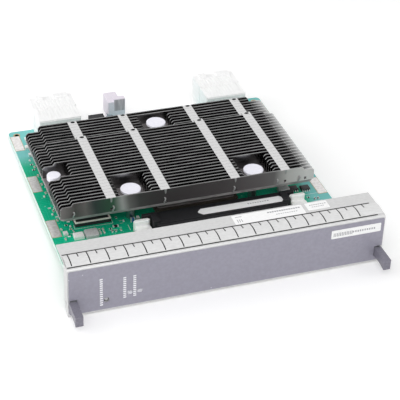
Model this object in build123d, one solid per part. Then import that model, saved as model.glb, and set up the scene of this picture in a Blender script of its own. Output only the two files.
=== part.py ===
"""Plug-in interface module for a router: folded front, board, stepped fin heatsink and backplane connectors.

Millimetres. X runs along the front from its left end, Y runs back from the face, Z is up.
Sizes are measured from the lower left corner of the folded front. Each piece is saved
about the card's own origin, which lies under the middle of its whole outline.
"""
import os

from build123d import *

# Folded front
FRONT_WIDTH = 168.0
FRONT_HEIGHT = 29.0
SHEET = 1.0
BEND_INNER = 0.4
SHELF_DEPTH = 22.2
FLOOR_DEPTH = 13.0
RETURN_DEPTH = 7.0
RETURN_CORNER = 4.0

# Face skin
SKIN_THICK = 0.5
SKIN_SIDE_MARGIN = 0.6
SKIN_BOTTOM = 2.0
SKIN_TOP_MARGIN = 1.2
SKIN_CORNER = 0.8

# Pull handles
HANDLE_THICK = 4.0
HANDLE_REACH = 13.0
HANDLE_TOP = 9.5
HANDLE_TIP_HEIGHT = 5.8
HANDLE_ROOT_HEIGHT = 5.0
HANDLE_WAIST = 4.4
HANDLE_EDGE = 0.45
TONGUE_DEPTH = 5.0
TONGUE_INSET = 0.8
SLOT_CLEARANCE = 0.15
SLOT_HEADROOM = 1.2
HANDLE_SCREW_RADIUS = 1.0
HANDLE_SCREW_HEAD_RADIUS = 1.8
HANDLE_SCREW_HEAD = 1.0
HANDLE_SCREW_BACK = 2.7
SCREW_FIT = 0.08

# Button and lamps
BUTTON_X = 19.5
BUTTON_LIFT = 0.2
BUTTON_HOLE_RADIUS = 1.35
PLUNGER_RADIUS = 1.0
PLUNGER_RECESS = 0.3
PLUNGER_TRAVEL = 0.4
PLUNGER_FIT = 0.12
SKIN_HOLE_MARGIN = 0.15
SWITCH_WIDTH = 6.2
SWITCH_DEPTH = 4.2
SWITCH_HEIGHT = 3.4
SWITCH_GAP = 1.2
SWITCH_EDGE = 0.4
SWITCH_WING = 1.2
SWITCH_WING_THICK = 0.4
NOTCH_CLEARANCE = 0.15
LAMP_XS = (31.3, 36.4)
LAMP_LIFT = 2.4
LAMP_WIDTH = 2.8
LAMP_HEIGHT = 2.2
LAMP_CORNER = 0.6
LAMP_FIT = 0.1
LAMP_HOUSING_DEPTH = 5.5
LAMP_HOUSING_GAP = 0.6
LAMP_HOUSING_ROUND = 1.2

# Contact finger strip
STRIP_FRONT = 2.1
STRIP_DEPTH = 9.9
STRIP_THICK = 0.3
STRIP_RISE = 0.8
STRIP_CROWN = 3.2
STRIP_END_MARGIN = 0.4
FINGER_PITCH = 9.475
SLIT_MARGIN = 2.8
SLIT_WIDTH = 0.45
SLIT_FRONT_WEB = 0.7
SHORT_SLIT_LENGTH = 3.2

# Main board
BOARD_THICK = 2.4
BOARD_TOP = 7.2
BOARD_INSET = 5.9
BOARD_FRONT = 1.8
BOARD_BACK = 167.4
BOARD_CORNER = 2.5
TOOLING_HOLE_RADIUS = 1.25
TOOLING_HOLE_INSET = 4.3
PAD_WIDTH = 5.0
PAD_THICK = 0.1
PAD_EDGE = 0.3
PAD_LENGTH = 15.5
PAD_BACK_INSET = 5.5
PAD_PITCH = 44.2
PAD_COUNT = 3

# Board spacers on the pan floor
SPACER_RADIUS = 2.6
SPACER_HOLE_RADIUS = 1.3
SPACER_INSET = 6.1
SPACER_Y = 9.0
SPACER_SCREW_HEAD_RADIUS = 2.2
SPACER_SCREW_HEAD = 1.2
SPACER_SCREW_EDGE = 0.5

# Heatsink: its front edge lies this far forward of the board's back edge
SINK_LEFT = 10.0
SINK_RIGHT_INSET = 11.1
SINK_REACH = 113.1
SINK_BASE_BOTTOM = 18.9
SINK_BASE_THICK = 1.5
SINK_BASE_CORNER = 3.0
FIN_THICK = 0.7
FIN_PITCH = 2.88
FRONT_FINS = 22
REAR_FINS = 8
FRONT_FIN_HEIGHT = 8.65
REAR_FIN_HEIGHT = 6.1
TIER_DROP = 1.7
TIER_SLOPE = 1.0
FRONT_TIER = 5.8
REAR_TIER = 7.6
REAR_FINS_WITHOUT_TIER = 1
FIN_CORNER = 1.2
TAB_WIDTH = 5.2
TAB_THICK = 0.5
TAB_GAP = 0.05
TAB_LEFT_INSETS = (27.2, 56.6)
TAB_RIGHT_INSETS = (45.4, 16.8)
TAB_HOLE_WIDTH = 1.9
TAB_HOLE_DEPTH = 0.9
TAB_HOLE_INSET = 0.5
HOOK_LEFT_INSET = 7.0
HOOK_RIGHT_INSET = 5.0
HOOK_HOLE_WIDTH = 1.3
HOOK_HOLE_HEIGHT = 1.5
HOOK_HOLE_LIFT = 0.7

# Heatsink screws: places from the sink's front left corner or, across, from the middle of the front
LEFT_SCREW_INSET = 40.7
LEFT_SCREW_SETBACK = 10.8
RIGHT_SCREW_OFFSET = 35.7
RIGHT_SCREW_SETBACK = 10.5
REAR_SCREW_OFFSET = 0.5
REAR_SCREW_SETBACK = 72.3
SIDE_SCREW_INSET = 4.9
SIDE_SCREW_SETBACK = 34.6
CAP_RADIUS = 5.5
SIDE_CAP_RADIUS = 3.7
POCKET_WIDTH = 16.4
SIDE_POCKET_REACH = 12.4
CAP_LIFT = 5.3
CAP_THICK = 1.3
CAP_EDGE = 0.35
CAP_SIDES = 24
SCREW_HEAD_RADIUS = 3.2
SCREW_HEAD_THICK = 1.2
SCREW_SHANK_RADIUS = 1.25
SCREW_HOLE_CLEARANCE = 0.35
SCREW_THREAD_LENGTH = 4.0
POST_RADIUS = 2.4
POST_HEIGHT = 5.5
SPRING_RADIUS = 2.2
SPRING_WIRE = 0.3
SPRING_TURNS = 2.5
SPRING_CLEARANCE = 0.1
SPRING_SIDES = 10
FASTENER_SIDES = 12

# Processor and second chip
PROCESSOR_OFFSET = 4.0
PROCESSOR_SETBACK = 32.7
CARRIER_SIZE = 47.0
CARRIER_THICK = 2.2
CARRIER_CORNER = 0.8
LID_SIZE = 43.5
LID_BRIM = 2.5
LID_BRIM_THICK = 0.9
LID_THICK = 2.6
LID_CORNER = 1.0
THERMAL_PAD_THICK = 0.4
PEDESTAL_SIZE = 42.0
PEDESTAL_CORNER = 1.5
BRIDGE_LEFT = 20.0
BRIDGE_SETBACK = 9.3
BRIDGE_SIZE = 19.5
BRIDGE_THICK = 2.2
BRIDGE_RIM_THICK = 0.7
BRIDGE_RIM_WIDTH = 2.6
BRIDGE_RIM_ROOF = 0.3
BRIDGE_RIM_EDGE = 0.25

# Memory: the socket's back lies under the sink's front edge
MODULE_OFFSET = 13.0
MODULE_WIDTH = 67.6
MODULE_THICK = 1.1
MODULE_REACH = 17.6
MODULE_INSERTION = 7.5
MODULE_RISE = 2.3
MODULE_NOTCH_RADIUS = 1.5
MODULE_NOTCH_SETBACK = 6.0
MODULE_KEY_OFFSET = 8.2
MODULE_KEY_WIDTH = 1.6
MODULE_KEY_DEPTH = 4.0
SOCKET_END_MARGIN = 2.9
SOCKET_DEPTH = 13.0
SOCKET_UNDER_SINK = 3.3
SOCKET_HEIGHT = 5.7
SOCKET_CHAMFER = 2.2
SOCKET_SLOT_CLEARANCE = 0.1
SOCKET_LIP_DEPTH = 2.6
SOCKET_LIP_DROP = 0.7
SOCKET_NOTCH_PITCH = 10.5
SOCKET_NOTCH_WIDTH = 1.2
SOCKET_NOTCH_DEPTH = 1.0
SOCKET_NOTCH_LIFT = 0.8
SOCKET_NOTCHES = 6
SOCKET_TOWER_SETBACK = 2.9
SOCKET_TOWER_DEPTH = 8.8
SOCKET_TOWER_HEIGHT = 7.1
SOCKET_TOWER_INNER = 1.6
SOCKET_TOWER_OUTER = 1.9
SOCKET_WING_WIDTH = 4.4
SOCKET_WING_DEPTH = 2.0
MEMORY_CHIP_WIDTH = 11.0
MEMORY_CHIP_DEPTH = 9.0
MEMORY_CHIP_THICK = 1.0
MEMORY_CHIP_EDGE = 0.2
MEMORY_CHIP_SETBACK = 4.5
MEMORY_CHIPS = 5
MEMORY_CHIP_PITCH = 12.4

# Memory latches
LATCH_EYE_RADIUS = 4.5
LATCH_LIFT = 0.3
LATCH_GAP = 2.8
LATCH_SETBACK = 4.3
LATCH_ARM_HEIGHT = 3.0
LATCH_ARM_THICK = 3.0
LATCH_ARM_GAP = 1.4
LATCH_REACH = 20.5
LATCH_SHOULDER = 1.0
LATCH_TAPER = 4.0
LATCH_EDGE = 0.4
LATCH_ROOF = 0.8
THUMB_HEIGHT = 6.0
THUMB_DEPTH = 2.5
THUMB_CORNER = 1.0
LATCH_HOOK_THICK = 1.6
LATCH_HOOK_OVERLAP = 1.1
LATCH_HOOK_HEIGHT = 1.5
LATCH_HOOK_DEPTH = 5.0
LATCH_HOOK_LEAD = 1.4
LATCH_PIN_RADIUS = 0.9
LATCH_PIN_FIT = 0.05
LATCH_PIN_HEADROOM = 0.1

# Backplane connectors
CONNECTOR_LEFT_X = 21.0
CONNECTOR_WIDTH = 25.0
CONNECTOR_OVERHANG = 9.0
CONNECTOR_HEIGHT = 15.7
CONNECTOR_DROP = 3.1
SHELL_ON_BOARD = 4.4
CONNECTOR_SHELL_WALL = 1.2
MOUTH_WIDTH = 1.0
MOUTH_DEPTH = 7.0
CONNECTOR_EDGE_CLEARANCE = 0.25
WAFER_DEPTH = 13.2
WAFER_PITCH = 2.0
WAFER_THICK = 1.7
WAFER_SLOPE = 4.0
WAFER_FALL = 1.0
RIB_PITCH = 2.0
RIB_GROOVE = 0.6
RIB_GROOVE_DEPTH = 0.4
KEY_SPANS = ((3.6, 7.5), (14.0, 22.5))
KEY_RISE = 1.3
KEY_DEPTH = 4.0
KEY_EDGE = 0.8

# Guide block
GUIDE_LEFT = 65.8
GUIDE_WIDTH = 10.4
GUIDE_ON_BOARD = 3.0
GUIDE_HEIGHT = 14.2
GUIDE_STEP = 1.6
GUIDE_STEP_WIDTH = 3.6
GUIDE_BORE_RADIUS = 3.0
GUIDE_BORE_DEPTH = 7.0
GUIDE_BORE_LEAD = 0.8
GUIDE_POCKET_DEPTH = 2.5
GUIDE_POCKET_WALL = 0.9
GUIDE_POCKET_FLOOR = 7.0

# Rear header
HEADER_LEFT = 54.0
HEADER_WIDTH = 9.0
HEADER_DEPTH = 7.5
HEADER_INSET = 0.9
HEADER_HEIGHT = 4.8
HEADER_WALL = 0.8
HEADER_FRONT_WALL = 2.5
HEADER_PINS = 5
HEADER_PIN_SIZE = 0.6
HEADER_PIN_TAIL = 1.6
HEADER_PIN_LIFT = 2.4
HEADER_PIN_INSET = 1.5

# Small board parts: each place is x from a board edge and y from the sink's front edge
FRONT_CHOKE_PLACE = (17.0, -2.6)
FRONT_CHOKE_SIZE = (7.3, 6.6, 2.0)
SIDE_CHOKE_PLACE = (26.5, 8.3)
SIDE_CHOKE_SIZE = (6.0, 6.0, 2.8)
CHOKE_CORNER = 0.8
CHOKE_EDGE = 0.3
FILTER_PLACE = (10.9, -2.0)
FILTER_SIZE = (5.4, 4.4, 2.0)
FILTER_ROUND = 0.5
OUTLINE_CHIP_PLACES = ((13.7, 8.1), (20.2, 9.3))
OUTLINE_CHIP_WIDTH = 5.0
OUTLINE_CHIP_DEPTH = 3.9
OUTLINE_CHIP_HEIGHT = 1.6
OUTLINE_CHIP_LIFT = 0.15
OUTLINE_CHIP_EDGE = 0.25
LEADS_A_SIDE = 4
LEAD_PITCH = 1.27
LEAD_WIDTH = 0.45
LEAD_REACH = 1.0
LEAD_FOOT = 0.55
LEAD_THICK = 0.2
CAPACITOR_LENGTH = 1.6
CAPACITOR_WIDTH = 0.9
CAPACITOR_HEIGHT = 0.9
CAPACITOR_ROW_INSET = 6.5
CAPACITOR_ROW_PITCH = 9.0
CAPACITOR_ROW_COUNT = 9
CAPACITOR_PAIR_PITCH = 1.95
LEFT_CAPACITOR_PAIRS = ((25.5, 0.3), (25.5, 3.1), (31.7, 0.1))
RIGHT_CAPACITOR_PAIR = (9.5, -0.9)

# Places worked out from the sizes above
MIDDLE_X = FRONT_WIDTH / 2
BUTTON_Z = BOARD_TOP + BUTTON_LIFT
LAMP_Z = BOARD_TOP + LAMP_LIFT
SWITCH_FRONT = SHEET + SWITCH_GAP
BOARD_BOTTOM = BOARD_TOP - BOARD_THICK
BOARD_LEFT = BOARD_INSET
BOARD_RIGHT = FRONT_WIDTH - BOARD_INSET
SPACER_XS = (BOARD_LEFT + SPACER_INSET, MIDDLE_X, BOARD_RIGHT - SPACER_INSET)
SINK_RIGHT = BOARD_RIGHT - SINK_RIGHT_INSET
SINK_FRONT = BOARD_BACK - SINK_REACH
SINK_BACK = SINK_FRONT + (FRONT_FINS + REAR_FINS - 1) * FIN_PITCH + FIN_THICK
SINK_BASE_TOP = SINK_BASE_BOTTOM + SINK_BASE_THICK
TAB_CENTRES = tuple([SINK_LEFT + inset for inset in TAB_LEFT_INSETS]
                    + [SINK_RIGHT - inset for inset in TAB_RIGHT_INSETS])
HOOK_CENTRES = (SINK_LEFT + HOOK_LEFT_INSET, *TAB_CENTRES, SINK_RIGHT - HOOK_RIGHT_INSET)
SCREW_FRONT_LEFT = (SINK_LEFT + LEFT_SCREW_INSET, SINK_FRONT + LEFT_SCREW_SETBACK, CAP_RADIUS)
SCREW_FRONT_RIGHT = (MIDDLE_X + RIGHT_SCREW_OFFSET, SINK_FRONT + RIGHT_SCREW_SETBACK, CAP_RADIUS)
SCREW_REAR = (MIDDLE_X - REAR_SCREW_OFFSET, SINK_FRONT + REAR_SCREW_SETBACK, CAP_RADIUS)
SCREW_SIDE = (SINK_LEFT + SIDE_SCREW_INSET, SINK_FRONT + SIDE_SCREW_SETBACK, SIDE_CAP_RADIUS)
SCREWS = (SCREW_FRONT_LEFT, SCREW_FRONT_RIGHT, SCREW_REAR, SCREW_SIDE)
CAP_TOP = SINK_BASE_TOP + CAP_LIFT
HEAD_TOP = CAP_TOP - CAP_THICK
HEAD_BOTTOM = HEAD_TOP - SCREW_HEAD_THICK
POST_TOP = BOARD_TOP + POST_HEIGHT
PROCESSOR_CENTRE = (MIDDLE_X + PROCESSOR_OFFSET, SINK_FRONT + PROCESSOR_SETBACK)
CARRIER_TOP = BOARD_TOP + CARRIER_THICK
LID_TOP = CARRIER_TOP + LID_THICK
PAD_TOP = LID_TOP + THERMAL_PAD_THICK
BRIDGE_FRONT = SINK_FRONT + BRIDGE_SETBACK
MODULE_CENTRE_X = MIDDLE_X + MODULE_OFFSET
SOCKET_BACK = SINK_FRONT + SOCKET_UNDER_SINK
SOCKET_FRONT = SOCKET_BACK - SOCKET_DEPTH
SOCKET_HALF = MODULE_WIDTH / 2 + SOCKET_END_MARGIN
SOCKET_LEFT = MODULE_CENTRE_X - SOCKET_HALF
SOCKET_RIGHT = MODULE_CENTRE_X + SOCKET_HALF
MODULE_FRONT = SOCKET_FRONT - MODULE_REACH
MODULE_BACK = SOCKET_FRONT + MODULE_INSERTION
MODULE_BOTTOM = BOARD_TOP + MODULE_RISE
MODULE_TOP = MODULE_BOTTOM + MODULE_THICK
LATCH_PIVOT_X = SOCKET_LEFT - LATCH_GAP - LATCH_EYE_RADIUS
LATCH_PIVOT_Y = SOCKET_FRONT + LATCH_SETBACK
CONNECTOR_RIGHT_X = FRONT_WIDTH - CONNECTOR_LEFT_X - CONNECTOR_WIDTH
CONNECTOR_BACK = BOARD_BACK + CONNECTOR_OVERHANG
CONNECTOR_TOP = BOARD_TOP + CONNECTOR_HEIGHT
CONNECTOR_BOTTOM = BOARD_TOP - CONNECTOR_DROP
SHELL_FRONT = BOARD_BACK - SHELL_ON_BOARD
GUIDE_FRONT = BOARD_BACK - GUIDE_ON_BOARD
GUIDE_TOP = BOARD_TOP + GUIDE_HEIGHT
HEADER_BACK = BOARD_BACK - HEADER_INSET
HEADER_FRONT = HEADER_BACK - HEADER_DEPTH
ORIGIN_X = MIDDLE_X
ORIGIN_Y = (CONNECTOR_BACK - HANDLE_REACH) / 2

MINIMUM = (Align.MIN, Align.MIN, Align.MIN)


def block(x_span, y_span, z_span):
    """A box between two corners, each given as a span along one axis."""
    size = [high - low for low, high in (x_span, y_span, z_span)]
    return Pos(x_span[0], y_span[0], z_span[0]) * Box(*size, align=MINIMUM)


def post(x, y, z_span, radius):
    """A round post that stands along Z."""
    height = z_span[1] - z_span[0]
    return Pos(x, y, z_span[0]) * Cylinder(radius, height, align=(Align.CENTER, Align.CENTER, Align.MIN))


def rod(x, y, z_span, radius, sides=FASTENER_SIDES):
    """A many-sided rod or hole along Z, for the small fasteners that repeat."""
    return Pos(x, y, z_span[0]) * extrude(RegularPolygon(radius, sides), z_span[1] - z_span[0])


def side_profile(points, x_span):
    """An outline of (y, z) points run along X."""
    outline = make_face(Polyline(*[(0, y, z) for y, z in points], close=True))
    return Pos(x_span[0], 0, 0) * extrude(outline, x_span[1] - x_span[0], dir=(1, 0, 0))


def front_profile(face, y, thickness):
    """A face drawn with (x, z) as its plane coordinates, run back from y."""
    plane = Plane(origin=(0, y, 0), x_dir=(1, 0, 0), z_dir=(0, -1, 0))
    return extrude(plane * face, -thickness)


def edges_at(shape, axis, corners, reach=0.01):
    """The straight edges along an axis whose other two coordinates match one of the corners."""
    found = []
    for edge in shape.edges().filter_by(axis):
        middle = edge.center()
        place = {"X": (middle.Y, middle.Z), "Y": (middle.X, middle.Z), "Z": (middle.X, middle.Y)}
        here = place[[name for name, a in (("X", Axis.X), ("Y", Axis.Y), ("Z", Axis.Z)) if a == axis][0]]
        if any(abs(here[0] - c[0]) < reach and abs(here[1] - c[1]) < reach for c in corners):
            found.append(edge)
    return found


def mirrored(shape):
    """The same piece at the other end of the front."""
    return mirror(shape, about=Plane.YZ.offset(FRONT_WIDTH / 2))


def save(name, *solids):
    """One sub-part, as one solid or a group of separate solids, about the card's own origin."""
    to_origin = Pos(-ORIGIN_X, -ORIGIN_Y, 0)
    pieces = [to_origin * piece for shape in solids for piece in shape.solids()]
    body = pieces[0] if len(pieces) == 1 else Compound(children=pieces)
    export_step(body, f"parts/{name}.step")


def handle_slot_span():
    """Width and height of the slot that a handle passes through."""
    left = SKIN_SIDE_MARGIN
    right = SKIN_SIDE_MARGIN + HANDLE_THICK + SLOT_CLEARANCE
    low = HANDLE_TOP - HANDLE_ROOT_HEIGHT - SLOT_CLEARANCE
    high = HANDLE_TOP + SLOT_HEADROOM
    return (left, right), (low, high)


def tongue_span():
    """The part of a handle that lies behind the front wall."""
    left = SHEET
    right = SKIN_SIDE_MARGIN + HANDLE_THICK
    low = HANDLE_TOP - HANDLE_ROOT_HEIGHT + TONGUE_INSET
    high = HANDLE_TOP - TONGUE_INSET
    return (left, right), (low, high)


def faceplate_pan():
    """Folded sheet: front wall, shelf, floor and two short side returns."""
    inside = SHEET
    shelf_under = FRONT_HEIGHT - SHEET
    section = [(FLOOR_DEPTH, 0), (0, 0), (0, FRONT_HEIGHT), (SHELF_DEPTH, FRONT_HEIGHT),
               (SHELF_DEPTH, shelf_under), (inside, shelf_under), (inside, inside), (FLOOR_DEPTH, inside)]
    pan = side_profile(section, (0, FRONT_WIDTH))
    pan = fillet(edges_at(pan, Axis.X, [(0, 0), (0, FRONT_HEIGHT)]), BEND_INNER + SHEET)
    pan = fillet(edges_at(pan, Axis.X, [(inside, inside), (inside, shelf_under)]), BEND_INNER)
    side = side_profile([(SHEET / 2, SHEET / 2), (RETURN_DEPTH, SHEET / 2),
                         (RETURN_DEPTH, shelf_under), (SHEET / 2, shelf_under)], (0, SHEET))
    side = fillet(edges_at(side, Axis.X, [(RETURN_DEPTH, SHEET / 2)]), RETURN_CORNER)
    floor_relief = block((-1, SHEET + 1.5), (RETURN_DEPTH - RETURN_CORNER, FLOOR_DEPTH + 1), (-1, SHEET))
    pan = pan - floor_relief - mirrored(floor_relief)
    pan = pan + side + mirrored(side)
    slot_x, slot_z = handle_slot_span()
    slot = block((SHEET, slot_x[1]), (-1, SHEET + 0.01), slot_z)
    pan = pan - slot - mirrored(slot)
    screw_hole = handle_screw_hole()
    pan = pan - screw_hole - mirrored(screw_hole)
    pan -= front_profile(Pos(BUTTON_X, BUTTON_Z) * Circle(BUTTON_HOLE_RADIUS), -1, 3)
    for x in LAMP_XS:
        pan -= front_profile(Pos(x, LAMP_Z) * lamp_window(LAMP_FIT), -1, 3)
    for x in SPACER_XS:
        pan -= rod(x, SPACER_Y, (-1, SHEET + 1), SPACER_HOLE_RADIUS)
    return pan


def lamp_window(clearance):
    """Window outline of a lamp, its corners cut off."""
    window = Rectangle(LAMP_WIDTH + 2 * clearance, LAMP_HEIGHT + 2 * clearance)
    return chamfer(window.vertices(), LAMP_CORNER)


def face_skin():
    """Thin coloured skin on the front wall."""
    width = FRONT_WIDTH - 2 * SKIN_SIDE_MARGIN
    height = FRONT_HEIGHT - SKIN_TOP_MARGIN - SKIN_BOTTOM
    face = Pos(FRONT_WIDTH / 2, SKIN_BOTTOM + height / 2) * RectangleRounded(width, height, SKIN_CORNER)
    slot_x, slot_z = handle_slot_span()
    notch_width = slot_x[1] - slot_x[0] + 1
    notch = Rectangle(notch_width, slot_z[1] - slot_z[0], align=(Align.MIN, Align.MIN))
    face -= Pos(slot_x[0] - 1, slot_z[0]) * notch
    face -= Pos(FRONT_WIDTH - slot_x[1], slot_z[0]) * notch
    face -= Pos(BUTTON_X, BUTTON_Z) * Circle(BUTTON_HOLE_RADIUS + SKIN_HOLE_MARGIN)
    for x in LAMP_XS:
        face -= Pos(x, LAMP_Z) * lamp_window(LAMP_FIT)
    return front_profile(face, -SKIN_THICK, SKIN_THICK)


def pull_handle():
    """Left handle: a flat pull with a hollowed underside and a tongue behind the wall."""
    root_low = HANDLE_TOP - HANDLE_ROOT_HEIGHT
    tip_low = HANDLE_TOP - HANDLE_TIP_HEIGHT
    waist = (0, -HANDLE_REACH * 0.45, HANDLE_TOP - HANDLE_WAIST)
    outline = [Line((0, 0, HANDLE_TOP), (0, -HANDLE_REACH, HANDLE_TOP)),
               Line((0, -HANDLE_REACH, HANDLE_TOP), (0, -HANDLE_REACH, tip_low)),
               ThreePointArc((0, -HANDLE_REACH, tip_low), waist, (0, 0, root_low)),
               Line((0, 0, root_low), (0, 0, HANDLE_TOP))]
    face = make_face(Curve() + outline)
    handle = extrude(face, HANDLE_THICK, dir=(1, 0, 0))
    tip = [edge for edge in handle.edges() if edge.center().Y < -HANDLE_REACH + 0.01]
    handle = Pos(SKIN_SIDE_MARGIN, 0, 0) * chamfer(tip, HANDLE_EDGE)
    tongue_x, tongue_z = tongue_span()
    tongue = block(tongue_x, (0, SHEET + TONGUE_DEPTH), tongue_z)
    return handle + tongue - handle_screw_hole()


def handle_screw_rod(x_span, radius):
    """A round rod on the axis of the handle screw."""
    z = sum(tongue_span()[1]) / 2
    length = x_span[1] - x_span[0]
    return Pos(x_span[0], SHEET + HANDLE_SCREW_BACK, z) * Rot(0, 90, 0) * rod(0, 0, (0, length), radius)


def handle_screw_hole():
    return handle_screw_rod((-1, tongue_span()[0][1] + 1), HANDLE_SCREW_RADIUS + SCREW_FIT)


def handle_screw():
    """Screw through the tongue into the side return, its head on the inner side."""
    inner = tongue_span()[0][1]
    shank = handle_screw_rod((0, inner), HANDLE_SCREW_RADIUS)
    return shank + handle_screw_rod((inner, inner + HANDLE_SCREW_HEAD), HANDLE_SCREW_HEAD_RADIUS)


def finger_strip():
    """One spring sheet, raised along its middle, with long and short slits."""
    low = FRONT_HEIGHT
    crown = low + STRIP_THICK + STRIP_RISE
    back = STRIP_FRONT + STRIP_DEPTH
    crown_front, crown_back = STRIP_FRONT + STRIP_CROWN, back - STRIP_CROWN
    section = [(STRIP_FRONT, low), (STRIP_FRONT, low + STRIP_THICK), (crown_front, crown),
               (crown_back, crown), (back, low + STRIP_THICK), (back, low),
               (crown_back, crown - STRIP_THICK), (crown_front, crown - STRIP_THICK)]
    strip = side_profile(section, (STRIP_END_MARGIN, FRONT_WIDTH - STRIP_END_MARGIN))
    slits = int((FRONT_WIDTH - 2 * SLIT_MARGIN) / FINGER_PITCH)
    tall = (low - 1, crown + 1)
    cuts = []
    for index in range(slits):
        x = SLIT_MARGIN + index * FINGER_PITCH
        cuts.append(block((x, x + SLIT_WIDTH), (STRIP_FRONT + SLIT_FRONT_WEB, back + 1), tall))
        if index < slits - 1:
            x += FINGER_PITCH / 2
            cuts.append(block((x, x + SLIT_WIDTH), (back - SHORT_SLIT_LENGTH, back + 1), tall))
    return strip - cuts


def button_plunger():
    """Plunger that the switch pushes forward into the button hole."""
    length = SWITCH_FRONT - PLUNGER_RECESS
    return plunger_axis(PLUNGER_RECESS) * Cylinder(PLUNGER_RADIUS, length,
                                                   align=(Align.CENTER, Align.CENTER, Align.MIN))


def plunger_axis(y):
    return Pos(BUTTON_X, y, BUTTON_Z) * Rot(-90, 0, 0)


def switch_body():
    """Side-acting push switch let into the board's edge, open at the front for its plunger."""
    front = SWITCH_FRONT - PLUNGER_TRAVEL
    half = SWITCH_WIDTH / 2
    body = block((BUTTON_X - half, BUTTON_X + half), (front, front + SWITCH_DEPTH),
                 (BUTTON_Z - SWITCH_HEIGHT / 2, BUTTON_Z + SWITCH_HEIGHT / 2))
    body = chamfer(body.edges().filter_by(Axis.Y), SWITCH_EDGE)
    wings = block((BUTTON_X - half - SWITCH_WING, BUTTON_X + half + SWITCH_WING),
                  (front + SWITCH_DEPTH / 4, front + SWITCH_DEPTH * 3 / 4),
                  (BOARD_TOP, BOARD_TOP + SWITCH_WING_THICK))
    well_depth = 2.5 * PLUNGER_TRAVEL
    well = plunger_axis(front - 1) * Cylinder(PLUNGER_RADIUS + PLUNGER_FIT, well_depth + 1,
                                              align=(Align.CENTER, Align.CENTER, Align.MIN))
    return body + wings - well


def light_guide(x):
    """Clear guide from a lamp on the board to its window."""
    front, back = SHEET + LAMP_HOUSING_GAP, SHEET + LAMP_HOUSING_DEPTH
    top = LAMP_Z + LAMP_HEIGHT / 2
    stem = front_profile(Pos(x, LAMP_Z) * lamp_window(0), -SKIN_THICK, SKIN_THICK + front)
    foot = block((x - LAMP_WIDTH / 2, x + LAMP_WIDTH / 2), (front, back), (BOARD_TOP, top))
    return stem + fillet(edges_at(foot, Axis.X, [(back, top)]), LAMP_HOUSING_ROUND)


def main_board():
    """Circuit board with rounded rear corners, tooling holes and screw holes."""
    board = block((BOARD_LEFT, BOARD_RIGHT), (BOARD_FRONT, BOARD_BACK), (BOARD_BOTTOM, BOARD_TOP))
    rear = [(BOARD_LEFT, BOARD_BACK), (BOARD_RIGHT, BOARD_BACK)]
    board = fillet(edges_at(board, Axis.Z, rear), BOARD_CORNER)
    through = (BOARD_BOTTOM - 1, BOARD_TOP + 1)
    for x in (BOARD_LEFT + TOOLING_HOLE_INSET, BOARD_RIGHT - TOOLING_HOLE_INSET):
        board -= post(x, BOARD_BACK - TOOLING_HOLE_INSET, through, TOOLING_HOLE_RADIUS)
    for x in SPACER_XS:
        board -= rod(x, SPACER_Y, through, SPACER_HOLE_RADIUS)
    notch_half = SWITCH_WIDTH / 2 + NOTCH_CLEARANCE
    notch_back = SWITCH_FRONT - PLUNGER_TRAVEL + SWITCH_DEPTH + NOTCH_CLEARANCE
    notch = block((BUTTON_X - notch_half, BUTTON_X + notch_half), (BOARD_FRONT - 1, notch_back), through)
    return board - notch


def ground_pads():
    """Plated strips along both long edges."""
    pads = []
    for index in range(PAD_COUNT):
        end = BOARD_BACK - PAD_BACK_INSET - index * PAD_PITCH
        pad = block((BOARD_LEFT + PAD_EDGE, BOARD_LEFT + PAD_EDGE + PAD_WIDTH), (end - PAD_LENGTH, end),
                    (BOARD_TOP, BOARD_TOP + PAD_THICK))
        pads += [pad, mirrored(pad)]
    return pads


def board_spacer(x):
    """Six-sided spacer between the pan's floor and the board."""
    spacer = rod(x, SPACER_Y, (SHEET, BOARD_BOTTOM), SPACER_RADIUS, sides=6)
    return spacer - rod(x, SPACER_Y, (0, BOARD_TOP), SPACER_HOLE_RADIUS)


def board_screw(x):
    """Screw from above through the board and its spacer into the floor."""
    shank = rod(x, SPACER_Y, (0, BOARD_TOP), SPACER_HOLE_RADIUS - SCREW_FIT)
    head = rod(x, SPACER_Y, (BOARD_TOP, BOARD_TOP + SPACER_SCREW_HEAD), SPACER_SCREW_HEAD_RADIUS)
    return shank + chamfer(head.edges().group_by(Axis.Z)[-1], SPACER_SCREW_EDGE)


def heatsink_base():
    """Base plate with the raised block that presses on the processor."""
    plate = block((SINK_LEFT, SINK_RIGHT), (SINK_FRONT, SINK_BACK), (SINK_BASE_BOTTOM, SINK_BASE_TOP))
    plate = fillet(plate.edges().filter_by(Axis.Z), SINK_BASE_CORNER)
    x, y = PROCESSOR_CENTRE
    pedestal = Pos(x, y, PAD_TOP) * Box(PEDESTAL_SIZE, PEDESTAL_SIZE, SINK_BASE_BOTTOM - PAD_TOP,
                                        align=(Align.CENTER, Align.CENTER, Align.MIN))
    base = plate + chamfer(pedestal.edges().filter_by(Axis.Z), PEDESTAL_CORNER)
    for x, y, _ in SCREWS:
        base -= rod(x, y, (SINK_BASE_BOTTOM - 1, SINK_BASE_TOP + 1),
                    SCREW_SHANK_RADIUS + SCREW_HOLE_CLEARANCE)
    return base


def pocket_rows(screw):
    """Indexes of the fins that are cut away around a screw cap."""
    _, y, radius = screw
    reach = radius + FIN_PITCH * 0.75
    rows = range(1, FRONT_FINS + REAR_FINS - 1)
    return [row for row in rows if abs(SINK_FRONT + row * FIN_PITCH + FIN_THICK / 2 - y) < reach]


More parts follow.
